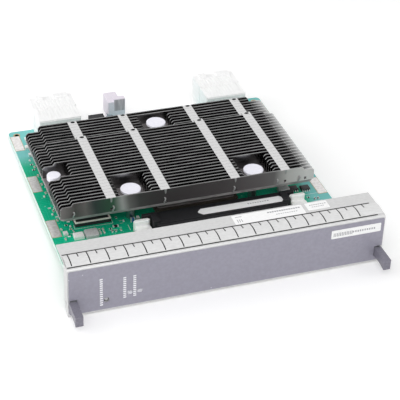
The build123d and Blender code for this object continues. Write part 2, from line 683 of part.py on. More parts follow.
def fin_spans(row):
    """Stretches of X that a fin covers, with the pockets left out."""
    without_tier = row >= FRONT_FINS + REAR_FINS - REAR_FINS_WITHOUT_TIER
    inset = REAR_TIER if without_tier else 0
    left, right = SINK_LEFT + inset, SINK_RIGHT - inset
    if row in pocket_rows(SCREW_SIDE):
        left = SINK_LEFT + SIDE_POCKET_REACH
    spans = [(left, right)]
    for screw in (SCREW_FRONT_LEFT, SCREW_FRONT_RIGHT, SCREW_REAR):
        if row in pocket_rows(screw):
            gap = (screw[0] - POCKET_WIDTH / 2, screw[0] + POCKET_WIDTH / 2)
            split = []
            for low, high in spans:
                if low < gap[0] and high > gap[1]:
                    split += [(low, gap[0]), (gap[1], high)]
                else:
                    split.append((low, high))
            spans = split
    return spans


def fin_outline(span, top, tier):
    """Front view of one stretch of fin, with a lower step at an outer end."""
    low, high = span
    shoulder = top - TIER_DROP
    points = [(low, SINK_BASE_TOP)]
    if low < SINK_LEFT + tier:
        foot = SINK_LEFT + tier
        points += [(low, shoulder - FIN_CORNER), (low + FIN_CORNER, shoulder), (foot, shoulder),
                   (foot + TIER_SLOPE, top)]
    else:
        points += [(low, top - FIN_CORNER), (low + FIN_CORNER, top)]
    if high > SINK_RIGHT - tier:
        foot = SINK_RIGHT - tier
        points += [(foot - TIER_SLOPE, top), (foot, shoulder), (high - FIN_CORNER, shoulder),
                   (high, shoulder - FIN_CORNER)]
    else:
        points += [(high - FIN_CORNER, top), (high, top - FIN_CORNER)]
    return make_face(Polyline(*points, (high, SINK_BASE_TOP), close=True))


def fin_tabs(row, spans, top, last):
    """Folded tabs that reach back to the next fin along the four strips."""
    y = SINK_FRONT + row * FIN_PITCH + FIN_THICK
    tabs = []
    for centre in TAB_CENTRES:
        if not any(low < centre - TAB_WIDTH / 2 and centre + TAB_WIDTH / 2 < high for low, high in spans):
            continue
        reach = y + FIN_PITCH - FIN_THICK - TAB_GAP
        tab = block((centre - TAB_WIDTH / 2, centre + TAB_WIDTH / 2), (y, reach), (top - TAB_THICK, top))
        if last:
            hole_front = y + TAB_HOLE_INSET
            tab -= block((centre - TAB_HOLE_WIDTH / 2, centre + TAB_HOLE_WIDTH / 2),
                         (hole_front, hole_front + TAB_HOLE_DEPTH), (top - 2 * TAB_THICK, top + 1))
        tabs.append(tab)
    return tabs


def fin(row):
    """One row of fin: each stretch is a flat sheet with its tabs."""
    rear = row >= FRONT_FINS
    top = SINK_BASE_TOP + (REAR_FIN_HEIGHT if rear else FRONT_FIN_HEIGHT)
    tier = REAR_TIER if rear else FRONT_TIER
    last = row in (FRONT_FINS - 1, FRONT_FINS + REAR_FINS - 1)
    y = SINK_FRONT + row * FIN_PITCH
    spans = fin_spans(row)
    tabs = [] if row == FRONT_FINS + REAR_FINS - 1 else fin_tabs(row, spans, top, last)
    sheets = []
    for span in spans:
        sheet = front_profile(fin_outline(span, top, tier), y, FIN_THICK)
        if row == 0:
            sheet -= [hook_hole(centre, y) for centre in HOOK_CENTRES]
        sheets.append(sheet + [tab for tab in tabs if span[0] < tab.center().X < span[1]])
    return sheets


def hook_hole(centre, y):
    """Small hole at the foot of the front fin where the fins hook together."""
    low = SINK_BASE_TOP + HOOK_HOLE_LIFT
    return block((centre - HOOK_HOLE_WIDTH / 2, centre + HOOK_HOLE_WIDTH / 2), (y - 1, y + FIN_THICK + 1),
                 (low, low + HOOK_HOLE_HEIGHT))


def fin_bank(rows):
    return [sheet for row in rows for sheet in fin(row)]


def heatsink_screw(x, y):
    """Shouldered screw: head on the spring, thread in the post."""
    shank = rod(x, y, (POST_TOP - SCREW_THREAD_LENGTH, HEAD_BOTTOM), SCREW_SHANK_RADIUS)
    return shank + rod(x, y, (HEAD_BOTTOM, HEAD_TOP), SCREW_HEAD_RADIUS)


def screw_cap(x, y, radius):
    """White cap pressed on a screw head."""
    cap = rod(x, y, (HEAD_TOP, CAP_TOP), radius, sides=CAP_SIDES)
    return chamfer(cap.edges().group_by(Axis.Z)[-1], CAP_EDGE)


def screw_post(x, y):
    """Six-sided threaded post on the board."""
    hole = rod(x, y, (POST_TOP - SCREW_THREAD_LENGTH, POST_TOP + 1), SCREW_SHANK_RADIUS + SCREW_FIT)
    return rod(x, y, (BOARD_TOP, POST_TOP), POST_RADIUS, sides=6) - hole


def screw_spring(x, y):
    """Coil between the base plate and the screw head, of short straight lengths."""
    end = SPRING_WIRE + SPRING_CLEARANCE
    height = HEAD_BOTTOM - SINK_BASE_TOP - 2 * end
    steps = int(SPRING_TURNS * SPRING_SIDES)
    helix = Helix(height / SPRING_TURNS, height, SPRING_RADIUS)
    path = Polyline(*[helix @ (step / steps) for step in range(steps + 1)])
    start = Plane(origin=path @ 0, x_dir=(1, 0, 0), z_dir=path % 0)
    wire = start * Rectangle(2 * SPRING_WIRE, 2 * SPRING_WIRE)
    return Pos(x, y, SINK_BASE_TOP + end) * sweep(wire, path=path, transition=Transition.RIGHT)


def processor_carrier():
    x, y = PROCESSOR_CENTRE
    carrier = Pos(x, y, BOARD_TOP) * Box(CARRIER_SIZE, CARRIER_SIZE, CARRIER_THICK,
                                         align=(Align.CENTER, Align.CENTER, Align.MIN))
    return chamfer(carrier.edges().filter_by(Axis.Z), CARRIER_CORNER)


def processor_lid():
    """Metal lid with a thin brim."""
    x, y = PROCESSOR_CENTRE
    centred = (Align.CENTER, Align.CENTER, Align.MIN)
    brim = Pos(x, y, CARRIER_TOP) * Box(LID_SIZE, LID_SIZE, LID_BRIM_THICK, align=centred)
    inner = LID_SIZE - 2 * LID_BRIM
    lid = brim + Pos(x, y, CARRIER_TOP) * Box(inner, inner, LID_THICK, align=centred)
    return chamfer(lid.edges().filter_by(Axis.Z), LID_CORNER)


def thermal_pad():
    x, y = PROCESSOR_CENTRE
    inner = LID_SIZE - 2 * LID_BRIM
    return Pos(x, y, LID_TOP) * Box(inner, inner, THERMAL_PAD_THICK,
                                    align=(Align.CENTER, Align.CENTER, Align.MIN))


def bridge_chip():
    """Second chip: a flat body at the front left, under the heatsink."""
    return block((BRIDGE_LEFT, BRIDGE_LEFT + BRIDGE_SIZE), (BRIDGE_FRONT, BRIDGE_FRONT + BRIDGE_SIZE),
                 (BOARD_TOP, BOARD_TOP + BRIDGE_THICK))


def bridge_rim():
    """Metal frame on the second chip."""
    low = BOARD_TOP + BRIDGE_THICK
    high = low + BRIDGE_RIM_THICK
    outer = block((BRIDGE_LEFT, BRIDGE_LEFT + BRIDGE_SIZE), (BRIDGE_FRONT, BRIDGE_FRONT + BRIDGE_SIZE),
                  (low, high))
    rim = BRIDGE_RIM_WIDTH
    inner = block((BRIDGE_LEFT + rim, BRIDGE_LEFT + BRIDGE_SIZE - rim),
                  (BRIDGE_FRONT + rim, BRIDGE_FRONT + BRIDGE_SIZE - rim), (low - 1, high - BRIDGE_RIM_ROOF))
    return chamfer((outer - inner).edges().group_by(Axis.Z)[-1], BRIDGE_RIM_EDGE)


def memory_socket():
    """Low socket whose slot faces forward, with a stepped lip and small notches."""
    top = BOARD_TOP + SOCKET_HEIGHT
    lip = top - SOCKET_LIP_DROP
    slot_low = MODULE_BOTTOM - SOCKET_SLOT_CLEARANCE
    slot_high = MODULE_TOP + SOCKET_SLOT_CLEARANCE
    slot_back = MODULE_BACK + SOCKET_SLOT_CLEARANCE
    section = [(SOCKET_FRONT, BOARD_TOP), (SOCKET_BACK, BOARD_TOP), (SOCKET_BACK, top),
               (SOCKET_FRONT + SOCKET_LIP_DEPTH, top), (SOCKET_FRONT + SOCKET_LIP_DEPTH, lip),
               (SOCKET_FRONT, lip), (SOCKET_FRONT, slot_high), (slot_back, slot_high),
               (slot_back, slot_low), (SOCKET_FRONT, slot_low)]
    socket = side_profile(section, (SOCKET_LEFT, SOCKET_RIGHT))
    front_corners = [(SOCKET_LEFT, SOCKET_FRONT), (SOCKET_RIGHT, SOCKET_FRONT)]
    socket = chamfer(edges_at(socket, Axis.Z, front_corners), SOCKET_CHAMFER)
    for index in range(SOCKET_NOTCHES):
        x = MODULE_CENTRE_X + (index - (SOCKET_NOTCHES - 1) / 2) * SOCKET_NOTCH_PITCH
        socket -= block((x - SOCKET_NOTCH_WIDTH / 2, x + SOCKET_NOTCH_WIDTH / 2),
                        (SOCKET_FRONT - 1, SOCKET_FRONT + SOCKET_NOTCH_DEPTH),
                        (slot_high + SOCKET_NOTCH_LIFT, top + 1))
    return socket + socket_tower() + across_module(socket_tower())


def socket_tower():
    """Taller end block of the socket, with a wing behind the latch."""
    front = SOCKET_FRONT + SOCKET_TOWER_SETBACK
    back = front + SOCKET_TOWER_DEPTH
    z_span = (BOARD_TOP, BOARD_TOP + SOCKET_TOWER_HEIGHT)
    outer = SOCKET_LEFT - SOCKET_TOWER_OUTER
    tower = block((outer, SOCKET_LEFT + SOCKET_TOWER_INNER), (front, back), z_span)
    return tower + block((outer - SOCKET_WING_WIDTH, outer + 1), (back - SOCKET_WING_DEPTH, back), z_span)


def memory_board():
    """Module board pushed into the socket from the front."""
    half = MODULE_WIDTH / 2
    board = block((MODULE_CENTRE_X - half, MODULE_CENTRE_X + half), (MODULE_FRONT, MODULE_BACK),
                  (MODULE_BOTTOM, MODULE_TOP))
    through = (MODULE_BOTTOM - 1, MODULE_TOP + 1)
    notch_y = MODULE_FRONT + MODULE_NOTCH_SETBACK
    for side in (-1, 1):
        board -= rod(MODULE_CENTRE_X + side * half, notch_y, through, MODULE_NOTCH_RADIUS)
    key_x = MODULE_CENTRE_X - MODULE_KEY_OFFSET
    return board - block((key_x - MODULE_KEY_WIDTH / 2, key_x + MODULE_KEY_WIDTH / 2),
                         (MODULE_BACK - MODULE_KEY_DEPTH, MODULE_BACK + 1), through)


def memory_chip(index):
    x = MODULE_CENTRE_X + (index - (MEMORY_CHIPS - 1) / 2) * MEMORY_CHIP_PITCH
    front = MODULE_FRONT + MEMORY_CHIP_SETBACK
    chip = block((x - MEMORY_CHIP_WIDTH / 2, x + MEMORY_CHIP_WIDTH / 2), (front, front + MEMORY_CHIP_DEPTH),
                 (MODULE_TOP, MODULE_TOP + MEMORY_CHIP_THICK))
    return chamfer(chip.edges().group_by(Axis.Z)[-1], MEMORY_CHIP_EDGE)


def memory_latch():
    """Left latch: an eye on its pin, a thumb block behind, an arm beside the module and a hook."""
    x, y = LATCH_PIVOT_X, LATCH_PIVOT_Y
    low = BOARD_TOP + LATCH_LIFT
    high = low + LATCH_ARM_HEIGHT
    outer, inner = x - LATCH_EYE_RADIUS, x + LATCH_EYE_RADIUS
    front = y - LATCH_REACH
    knee = SOCKET_FRONT - LATCH_SHOULDER
    module_edge = MODULE_CENTRE_X - MODULE_WIDTH / 2
    arm = module_edge - LATCH_ARM_GAP
    outline = make_face(Polyline((outer, y), (outer, knee), (arm - LATCH_ARM_THICK, knee - LATCH_TAPER),
                                 (arm - LATCH_ARM_THICK, front), (arm, front), (arm, knee - LATCH_TAPER),
                                 (inner, knee), (inner, y), close=True))
    latch = post(x, y, (low, high), LATCH_EYE_RADIUS) + Pos(0, 0, low) * extrude(outline, LATCH_ARM_HEIGHT)
    latch = chamfer(latch.edges().group_by(Axis.Z)[-1], LATCH_EDGE)
    back = y + LATCH_EYE_RADIUS
    thumb = block((outer, inner), (back - THUMB_DEPTH, back), (low, low + THUMB_HEIGHT))
    thumb = chamfer(thumb.edges().filter_by(Axis.Z), THUMB_CORNER)
    thumb = chamfer(thumb.edges().group_by(Axis.Z)[-1], LATCH_EDGE)
    lip_low = MODULE_TOP + LATCH_LIFT
    lip_high = lip_low + LATCH_HOOK_HEIGHT
    y_span = (front, front + LATCH_HOOK_DEPTH)
    hook_x = (arm - LATCH_HOOK_THICK, module_edge + LATCH_HOOK_OVERLAP)
    lip = block(hook_x, y_span, (lip_low, lip_high))
    lip = chamfer(edges_at(lip, Axis.Z, [(hook_x[1], front)]), LATCH_HOOK_LEAD)
    stem = block((arm - LATCH_HOOK_THICK, arm), y_span, (low, lip_high))
    hole = post(x, y, (low - 1, high - LATCH_ROOF), LATCH_PIN_RADIUS + LATCH_PIN_FIT)
    return latch + thumb + stem + lip - hole


def latch_pin():
    top = BOARD_TOP + LATCH_LIFT + LATCH_ARM_HEIGHT - LATCH_ROOF - LATCH_PIN_HEADROOM
    return post(LATCH_PIVOT_X, LATCH_PIVOT_Y, (BOARD_TOP, top), LATCH_PIN_RADIUS)


def across_module(shape):
    """The same piece at the other end of the memory socket."""
    return mirror(shape, about=Plane.YZ.offset(MODULE_CENTRE_X))


def connector_shell(left):
    """Moulded rear housing: ribbed top, two keys and an open mating face."""
    right = left + CONNECTOR_WIDTH
    edge = BOARD_BACK + CONNECTOR_EDGE_CLEARANCE
    section = [(SHELL_FRONT, BOARD_TOP), (edge, BOARD_TOP), (edge, CONNECTOR_BOTTOM),
               (CONNECTOR_BACK, CONNECTOR_BOTTOM), (CONNECTOR_BACK, CONNECTOR_TOP),
               (SHELL_FRONT, CONNECTOR_TOP)]
    shell = side_profile(section, (left, right))
    wall = CONNECTOR_SHELL_WALL
    mouths = int(CONNECTOR_WIDTH / WAFER_PITCH) - 1
    first = left + (CONNECTOR_WIDTH - (mouths - 1) * WAFER_PITCH) / 2
    for index in range(mouths):
        x = first + index * WAFER_PITCH
        shell -= block((x - MOUTH_WIDTH / 2, x + MOUTH_WIDTH / 2),
                       (CONNECTOR_BACK - MOUTH_DEPTH, CONNECTOR_BACK + 1),
                       (CONNECTOR_BOTTOM + wall, CONNECTOR_TOP - wall - RIB_GROOVE_DEPTH))
    grooves = int(CONNECTOR_WIDTH / RIB_PITCH) - 1
    for index in range(grooves):
        x = left + (index + 1) * RIB_PITCH + (CONNECTOR_WIDTH - (grooves + 1) * RIB_PITCH) / 2
        shell -= block((x - RIB_GROOVE / 2, x + RIB_GROOVE / 2),
                       (SHELL_FRONT - 1, CONNECTOR_BACK - KEY_DEPTH),
                       (CONNECTOR_TOP - RIB_GROOVE_DEPTH, CONNECTOR_TOP + 1))
    for low, high in KEY_SPANS:
        key = block((left + low, left + high), (CONNECTOR_BACK - KEY_DEPTH, CONNECTOR_BACK),
                    (CONNECTOR_TOP, CONNECTOR_TOP + KEY_RISE))
        key_edge = edges_at(key, Axis.X, [(CONNECTOR_BACK - KEY_DEPTH, CONNECTOR_TOP + KEY_RISE)])
        shell += chamfer(key_edge, KEY_EDGE)
    return shell


def connector_wafers(left):
    """Thin upright wafers stacked side by side in front of the shell."""
    count = int(CONNECTOR_WIDTH / WAFER_PITCH)
    first = left + (CONNECTOR_WIDTH - count * WAFER_PITCH) / 2
    top = CONNECTOR_TOP - RIB_GROOVE_DEPTH
    front = SHELL_FRONT - WAFER_DEPTH
    section = [(front, BOARD_TOP), (SHELL_FRONT, BOARD_TOP), (SHELL_FRONT, top), (front + WAFER_SLOPE, top),
               (front, top - WAFER_FALL)]
    wafers = []
    for index in range(count):
        x = first + index * WAFER_PITCH + (WAFER_PITCH - WAFER_THICK) / 2
        wafers.append(side_profile(section, (x, x + WAFER_THICK)))
    return wafers


def guide_block():
    """Cast block at the rear edge with a bore for the guide pin."""
    left, right = GUIDE_LEFT, GUIDE_LEFT + GUIDE_WIDTH
    edge = BOARD_BACK + CONNECTOR_EDGE_CLEARANCE
    section = [(GUIDE_FRONT, BOARD_TOP), (edge, BOARD_TOP), (edge, CONNECTOR_BOTTOM),
               (CONNECTOR_BACK, CONNECTOR_BOTTOM), (CONNECTOR_BACK, GUIDE_TOP), (GUIDE_FRONT, GUIDE_TOP)]
    guide = side_profile(section, (left, right))
    guide -= block((left - 1, left + GUIDE_STEP_WIDTH), (GUIDE_FRONT - 1, CONNECTOR_BACK + 1),
                   (GUIDE_TOP - GUIDE_STEP, GUIDE_TOP + 1))
    x, z = guide_bore_centre()
    start = (Align.CENTER, Align.CENTER, Align.MAX)
    mouth = Pos(x, CONNECTOR_BACK, z) * Rot(-90, 0, 0)
    bore = mouth * Cylinder(GUIDE_BORE_RADIUS, GUIDE_BORE_DEPTH, align=start)
    lead = mouth * Cone(GUIDE_BORE_RADIUS, GUIDE_BORE_RADIUS + GUIDE_BORE_LEAD, GUIDE_BORE_LEAD, align=start)
    pocket = block((left + GUIDE_STEP_WIDTH, right - GUIDE_POCKET_WALL),
                   (GUIDE_FRONT - 1, GUIDE_FRONT + GUIDE_POCKET_DEPTH),
                   (BOARD_TOP + GUIDE_POCKET_FLOOR, GUIDE_TOP - GUIDE_POCKET_WALL))
    return guide - bore - lead - pocket


def guide_bore_centre():
    return GUIDE_LEFT + GUIDE_WIDTH / 2, (CONNECTOR_BOTTOM + GUIDE_TOP) / 2


def rear_header():
    """Low black header, open at the back."""
    left, right = HEADER_LEFT, HEADER_LEFT + HEADER_WIDTH
    top = BOARD_TOP + HEADER_HEIGHT
    body = block((left, right), (HEADER_FRONT, HEADER_BACK), (BOARD_TOP, top))
    wall = HEADER_WALL
    body -= block((left + wall, right - wall), (HEADER_FRONT + HEADER_FRONT_WALL, HEADER_BACK + 1),
                  (BOARD_TOP + wall, top - wall))
    return body - [block(*header_pin_box(index)) for index in range(HEADER_PINS)]


def header_pin_box(index):
    """Spans of one pin, from its tail in front to its tip inside the header."""
    x = HEADER_LEFT + HEADER_WIDTH / 2 + (index - (HEADER_PINS - 1) / 2) * HEADER_WIDTH / (HEADER_PINS + 1)
    z = BOARD_TOP + HEADER_PIN_LIFT
    half = HEADER_PIN_SIZE / 2
    y_span = (HEADER_FRONT - HEADER_PIN_TAIL, HEADER_BACK - HEADER_PIN_INSET)
    return (x - half, x + half), y_span, (z - half, z + half)


def header_pin(index):
    """Bent pin: level in the header, its tail down to the board."""
    x_span, y_span, z_span = header_pin_box(index)
    tail = block(x_span, (y_span[0], y_span[0] + HEADER_PIN_SIZE), (BOARD_TOP, z_span[1]))
    return block(x_span, y_span, z_span) + tail


def board_part(x, y, size):
    """A plain moulded body on the board, from its front left corner."""
    width, depth, height = size
    return block((x, x + width), (y, y + depth), (BOARD_TOP, BOARD_TOP + height))


def power_choke(x, y, size):
    """Moulded power choke with cut corners."""
    choke = board_part(x, y, size)
    choke = chamfer(choke.edges().filter_by(Axis.Z), CHOKE_CORNER)
    return chamfer(choke.edges().group_by(Axis.Z)[-1], CHOKE_EDGE)


def power_chokes():
    """One choke near the left edge and one near the right edge."""
    left = power_choke(BOARD_LEFT + FRONT_CHOKE_PLACE[0], SINK_FRONT + FRONT_CHOKE_PLACE[1], FRONT_CHOKE_SIZE)
    right = power_choke(BOARD_RIGHT - SIDE_CHOKE_PLACE[0], SINK_FRONT + SIDE_CHOKE_PLACE[1], SIDE_CHOKE_SIZE)
    return left, right


def filter_block():
    """White ceramic block at the front left."""
    body = board_part(BOARD_LEFT + FILTER_PLACE[0], SINK_FRONT + FILTER_PLACE[1], FILTER_SIZE)
    return fillet(body.edges().filter_by(Axis.Y).group_by(Axis.Z)[-1], FILTER_ROUND)


def outline_chip_places():
    return [(BOARD_RIGHT - inset, SINK_FRONT + setback) for inset, setback in OUTLINE_CHIP_PLACES]


def outline_chip(x, y):
    """Eight-lead chip body with sloped upper edges."""
    chip = block((x, x + OUTLINE_CHIP_WIDTH), (y, y + OUTLINE_CHIP_DEPTH),
                 (BOARD_TOP + OUTLINE_CHIP_LIFT, BOARD_TOP + OUTLINE_CHIP_HEIGHT))
    return chamfer(chip.edges().group_by(Axis.Z)[-1], OUTLINE_CHIP_EDGE)


def chip_leads(x, y):
    """Gull-wing leads along both long sides of a chip."""
    low, mid = BOARD_TOP, BOARD_TOP + OUTLINE_CHIP_HEIGHT / 2
    tip, knee = y - LEAD_REACH, y - LEAD_REACH + LEAD_FOOT
    profile = [(y, mid), (knee, mid), (knee, low + LEAD_THICK), (tip, low + LEAD_THICK), (tip, low),
               (knee + LEAD_THICK, low), (knee + LEAD_THICK, mid - LEAD_THICK), (y, mid - LEAD_THICK)]
    middle_line = Plane.XZ.offset(-(y + OUTLINE_CHIP_DEPTH / 2))
    leads = []
    for index in range(LEADS_A_SIDE):
        centre = x + OUTLINE_CHIP_WIDTH / 2 + (index - (LEADS_A_SIDE - 1) / 2) * LEAD_PITCH
        lead = side_profile(profile, (centre - LEAD_WIDTH / 2, centre + LEAD_WIDTH / 2))
        leads += [lead, mirror(lead, about=middle_line)]
    return leads


def near_side_post(y):
    """True where a capacitor of the side row would meet the side screw's post."""
    return abs(y - SCREW_SIDE[1]) < POST_RADIUS + CAPACITOR_LENGTH


def ceramic_capacitors():
    """Small ceramic capacitors in a row beside the heatsink and in pairs in front of it."""
    row = [SINK_FRONT + index * CAPACITOR_ROW_PITCH for index in range(CAPACITOR_ROW_COUNT)]
    places = [(BOARD_LEFT + CAPACITOR_ROW_INSET, y) for y in row if not near_side_post(y)]
    pairs = [(BOARD_LEFT + inset, setback) for inset, setback in LEFT_CAPACITOR_PAIRS]
    pairs.append((BOARD_RIGHT - RIGHT_CAPACITOR_PAIR[0], RIGHT_CAPACITOR_PAIR[1]))
    for x, setback in pairs:
        places += [(x, SINK_FRONT + setback), (x + CAPACITOR_PAIR_PITCH, SINK_FRONT + setback)]
    body = Box(CAPACITOR_WIDTH, CAPACITOR_LENGTH, CAPACITOR_HEIGHT,
               align=(Align.CENTER, Align.CENTER, Align.MIN))
    return [Pos(x, y, BOARD_TOP) * body for x, y in places]


def build():
    os.makedirs("parts", exist_ok=True)
    save("faceplate_pan", faceplate_pan())
    save("face_skin", face_skin())
    save("finger_strip", finger_strip())
    save("pull_handle_left", pull_handle())
    save("pull_handle_right", mirrored(pull_handle()))
    save("handle_screws", handle_screw(), mirrored(handle_screw()))
    save("switch_body", switch_body())
    save("button_plunger", button_plunger())
    save("light_guides", *[light_guide(x) for x in LAMP_XS])

    save("main_board", main_board())
    save("ground_pads", *ground_pads())
    save("board_spacers", *[board_spacer(x) for x in SPACER_XS])
    save("board_screws", *[board_screw(x) for x in SPACER_XS])

    save("heatsink_base", heatsink_base())
    save("front_fin_bank", *fin_bank(range(FRONT_FINS)))
    save("rear_fin_bank", *fin_bank(range(FRONT_FINS, FRONT_FINS + REAR_FINS)))
    save("heatsink_screws", *[heatsink_screw(x, y) for x, y, _ in SCREWS])
    save("screw_springs", *[screw_spring(x, y) for x, y, _ in SCREWS])
    save("screw_caps", *[screw_cap(x, y, radius) for x, y, radius in SCREWS])
    save("screw_posts", *[screw_post(x, y) for x, y, _ in SCREWS])

    save("processor_carrier", processor_carrier())
    save("processor_lid", processor_lid())
    save("thermal_pad", thermal_pad())
    save("bridge_chip", bridge_chip())
    save("bridge_rim", bridge_rim())

    save("memory_socket", memory_socket())
    save("memory_board", memory_board())
    save("memory_chips", *[memory_chip(index) for index in range(MEMORY_CHIPS)])
    save("memory_latch_left", memory_latch())
    save("memory_latch_right", across_module(memory_latch()))
    save("latch_pins", latch_pin(), across_module(latch_pin()))

    save("connector_shell_left", connector_shell(CONNECTOR_LEFT_X))
    save("connector_shell_right", connector_shell(CONNECTOR_RIGHT_X))
    save("connector_wafers_left", *connector_wafers(CONNECTOR_LEFT_X))
    save("connector_wafers_right", *connector_wafers(CONNECTOR_RIGHT_X))
    save("guide_block", guide_block())
    save("rear_header", rear_header())
    save("header_pins", *[header_pin(index) for index in range(HEADER_PINS)])

    save("power_chokes", *power_chokes())
    save("filter_block", filter_block())
    save("outline_chips", *[outline_chip(x, y) for x, y in outline_chip_places()])
    save("chip_leads", *[lead for x, y in outline_chip_places() for lead in chip_leads(x, y)])
    save("ceramic_capacitors", *ceramic_capacitors())


build()
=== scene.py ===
import math

import bmesh
import bpy
from mathutils import Matrix, Vector


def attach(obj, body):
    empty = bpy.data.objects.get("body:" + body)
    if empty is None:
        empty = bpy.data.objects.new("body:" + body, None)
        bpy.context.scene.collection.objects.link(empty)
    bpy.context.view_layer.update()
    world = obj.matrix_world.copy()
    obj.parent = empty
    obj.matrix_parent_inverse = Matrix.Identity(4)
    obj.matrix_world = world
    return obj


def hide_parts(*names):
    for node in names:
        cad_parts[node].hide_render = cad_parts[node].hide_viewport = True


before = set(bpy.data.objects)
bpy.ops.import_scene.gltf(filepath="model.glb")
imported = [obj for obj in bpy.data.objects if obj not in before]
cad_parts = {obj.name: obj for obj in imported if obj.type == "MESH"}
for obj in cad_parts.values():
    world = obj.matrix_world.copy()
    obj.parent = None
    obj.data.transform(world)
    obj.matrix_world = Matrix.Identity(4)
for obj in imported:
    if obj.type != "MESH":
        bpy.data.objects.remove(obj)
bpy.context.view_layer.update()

scene = bpy.context.scene
scene.view_settings.view_transform = "Standard"
frontCorner = Vector((-84.0, -81.7, 0.0))      # mm, lower left corner of the folded front in the frame


def spot(x, y, z):
    # a place in mm from the front's lower left corner, in metres in the frame
    return (Vector((x, y, z)) + frontCorner) / 1000


def placeOn(axis, value):
    # the same along one axis alone
    return spot(value, value, value)["XYZ".index(axis)]


def tint(hexColour):
    # sRGB hex to the linear colour that Blender's sockets take
    parts = [int(hexColour[i:i + 2], 16) / 255 for i in (1, 3, 5)]
    return [c / 12.92 if c <= 0.04045 else ((c + 0.055) / 1.055) ** 2.4 for c in parts] + [1.0]


def joinSockets(tree, node, links):
    # a link starts at a socket, or at the output that a node has in use
    for key, source in links.items():
        if isinstance(source, bpy.types.Node):
            source = next(socket for socket in source.outputs if socket.enabled)
        tree.links.new(source, node.inputs[key])


def addNode(tree, kind, settings=None, links=None):
    node = tree.nodes.new("ShaderNode" + kind)
    for key, value in (settings or {}).items():
        if isinstance(key, int) or key in node.inputs:
            node.inputs[key].default_value = value
        else:
            setattr(node, key, value)
    joinSockets(tree, node, links or {})
    return node


# Camera, lamps and floor

cameraFit = {"azimuth": 19.7536, "elevation": 34.0794, "roll": 2.0673, "distance": 732.8,
             "shift": (3.697, -0.587), "target": (84.0, 60.0, 15.9), "focalPixels": 1369.17,
             "imagePixels": 400, "sensor": 36.0, "clip": (0.01, 20)}


def makeCamera(fit):
    azimuth, elevation, roll = (math.radians(fit[k]) for k in ("azimuth", "elevation", "roll"))
    look = Vector((math.sin(azimuth) * math.cos(elevation), math.cos(azimuth) * math.cos(elevation),
                   -math.sin(elevation)))
    flatRight = look.cross(Vector((0, 0, 1))).normalized()
    flatUp = flatRight.cross(look)
    right = math.cos(roll) * flatRight + math.sin(roll) * flatUp
    up = -math.sin(roll) * flatRight + math.cos(roll) * flatUp
    offset = -fit["distance"] * look + fit["shift"][0] * right + fit["shift"][1] * up
    place = spot(*fit["target"]) + offset / 1000
    data = bpy.data.cameras.new("photoCamera")
    data.sensor_width = fit["sensor"]
    data.lens = fit["focalPixels"] / fit["imagePixels"] * fit["sensor"]
    data.clip_start, data.clip_end = fit["clip"]
    camera = bpy.data.objects.new("photoCamera", data)
    scene.collection.objects.link(camera)
    camera.matrix_world = Matrix.Translation(place) @ Matrix((right, up, -look)).transposed().to_4x4()
    scene.camera = camera


studio = {
    "light": "#ffffff", "worldLight": 0.52, "backdrop": 1.0,
    "floorColour": "#fdfdfd", "floorLift": 0.13, "floorSize": 8.0, "floorRough": 0.9, "floorSheen": 0.1,
    # the card rests on its front and, a little higher, on its connectors
    "restEdge": (0.0, 13.0, 0.0), "restSlope": 4.1 / 163.4,
    "lamps": {
        "keyBox": {"place": (-0.42, -0.9, 1.1), "size": 1.2, "watts": 8.5},
        "leftBox": {"place": (-1.25, 0.1, 0.55), "size": 0.9, "watts": 5.0},
        "backBox": {"place": (-0.85, 0.7, 1.1), "size": 1.0, "watts": 3.0},
        "sideBox": {"place": (1.15, -0.6, 0.65), "size": 0.9, "watts": 2.5}},
}


def seenDirectly(tree):
    # 1 for what the camera sees, straight or in a reflection
    path = addNode(tree, "LightPath").outputs
    seen = addNode(tree, "Math", {"operation": "MAXIMUM"},
                   {0: path["Is Camera Ray"], 1: path["Is Glossy Ray"]})
    return seen, path


def makeStudio(look):
    world = bpy.data.worlds.new("studioWorld")
    world.use_nodes = True
    scene.world = world
    tree = world.node_tree
    tree.nodes.clear()
    seen, path = seenDirectly(tree)
    shown = addNode(tree, "Math", {"operation": "MAXIMUM"}, {0: seen, 1: path["Is Transmission Ray"]})
    level = addNode(tree, "MapRange", {"To Min": look["worldLight"], "To Max": look["backdrop"]},
                    {"Value": shown})
    sky = addNode(tree, "Background", {"Color": tint(look["light"])}, {"Strength": level})
    addNode(tree, "OutputWorld", None, {"Surface": sky})
    for name, lamp in look["lamps"].items():
        data = bpy.data.lights.new(name, "AREA")
        data.shape, data.size, data.energy = "SQUARE", lamp["size"], lamp["watts"]
        box = bpy.data.objects.new(name, data)
        scene.collection.objects.link(box)
        box.location = lamp["place"]
        box.rotation_euler = (-Vector(lamp["place"])).to_track_quat("-Z", "Y").to_euler()
    mesh = bmesh.new()
    tilt = Matrix.Translation(spot(*look["restEdge"])) @ Matrix.Rotation(math.atan(look["restSlope"]), 4, "X")
    bmesh.ops.create_grid(mesh, x_segments=1, y_segments=1, size=look["floorSize"] / 2, matrix=tilt)
    data = bpy.data.meshes.new("studioFloor")
    mesh.to_mesh(data)
    mesh.free()
    paper = bpy.data.materials.new("matteWhitePaper")          # a plain sheet that shows the soft shadow
    paper.use_nodes = True
    tree = paper.node_tree
    shader = tree.nodes["Principled BSDF"]
    for socket, value in (("Base Color", tint(look["floorColour"])), ("Roughness", look["floorRough"]),
                          ("Specular IOR Level", look["floorSheen"]),
                          ("Emission Color", tint(look["light"]))):
        shader.inputs[socket].default_value = value
    # lifts the seen floor to white and leaves the light on the object alone
    lifted = addNode(tree, "Math", {"operation": "MULTIPLY", 1: look["floorLift"]},
                     {0: seenDirectly(tree)[0]})
    joinSockets(tree, shader, {"Emission Strength": lifted})
    data.materials.append(paper)
    floor = bpy.data.objects.new("studioFloor", data)
    scene.collection.objects.link(floor)


makeCamera(cameraFit)
makeStudio(studio)
print("camera, lamps and floor made")


# Materials

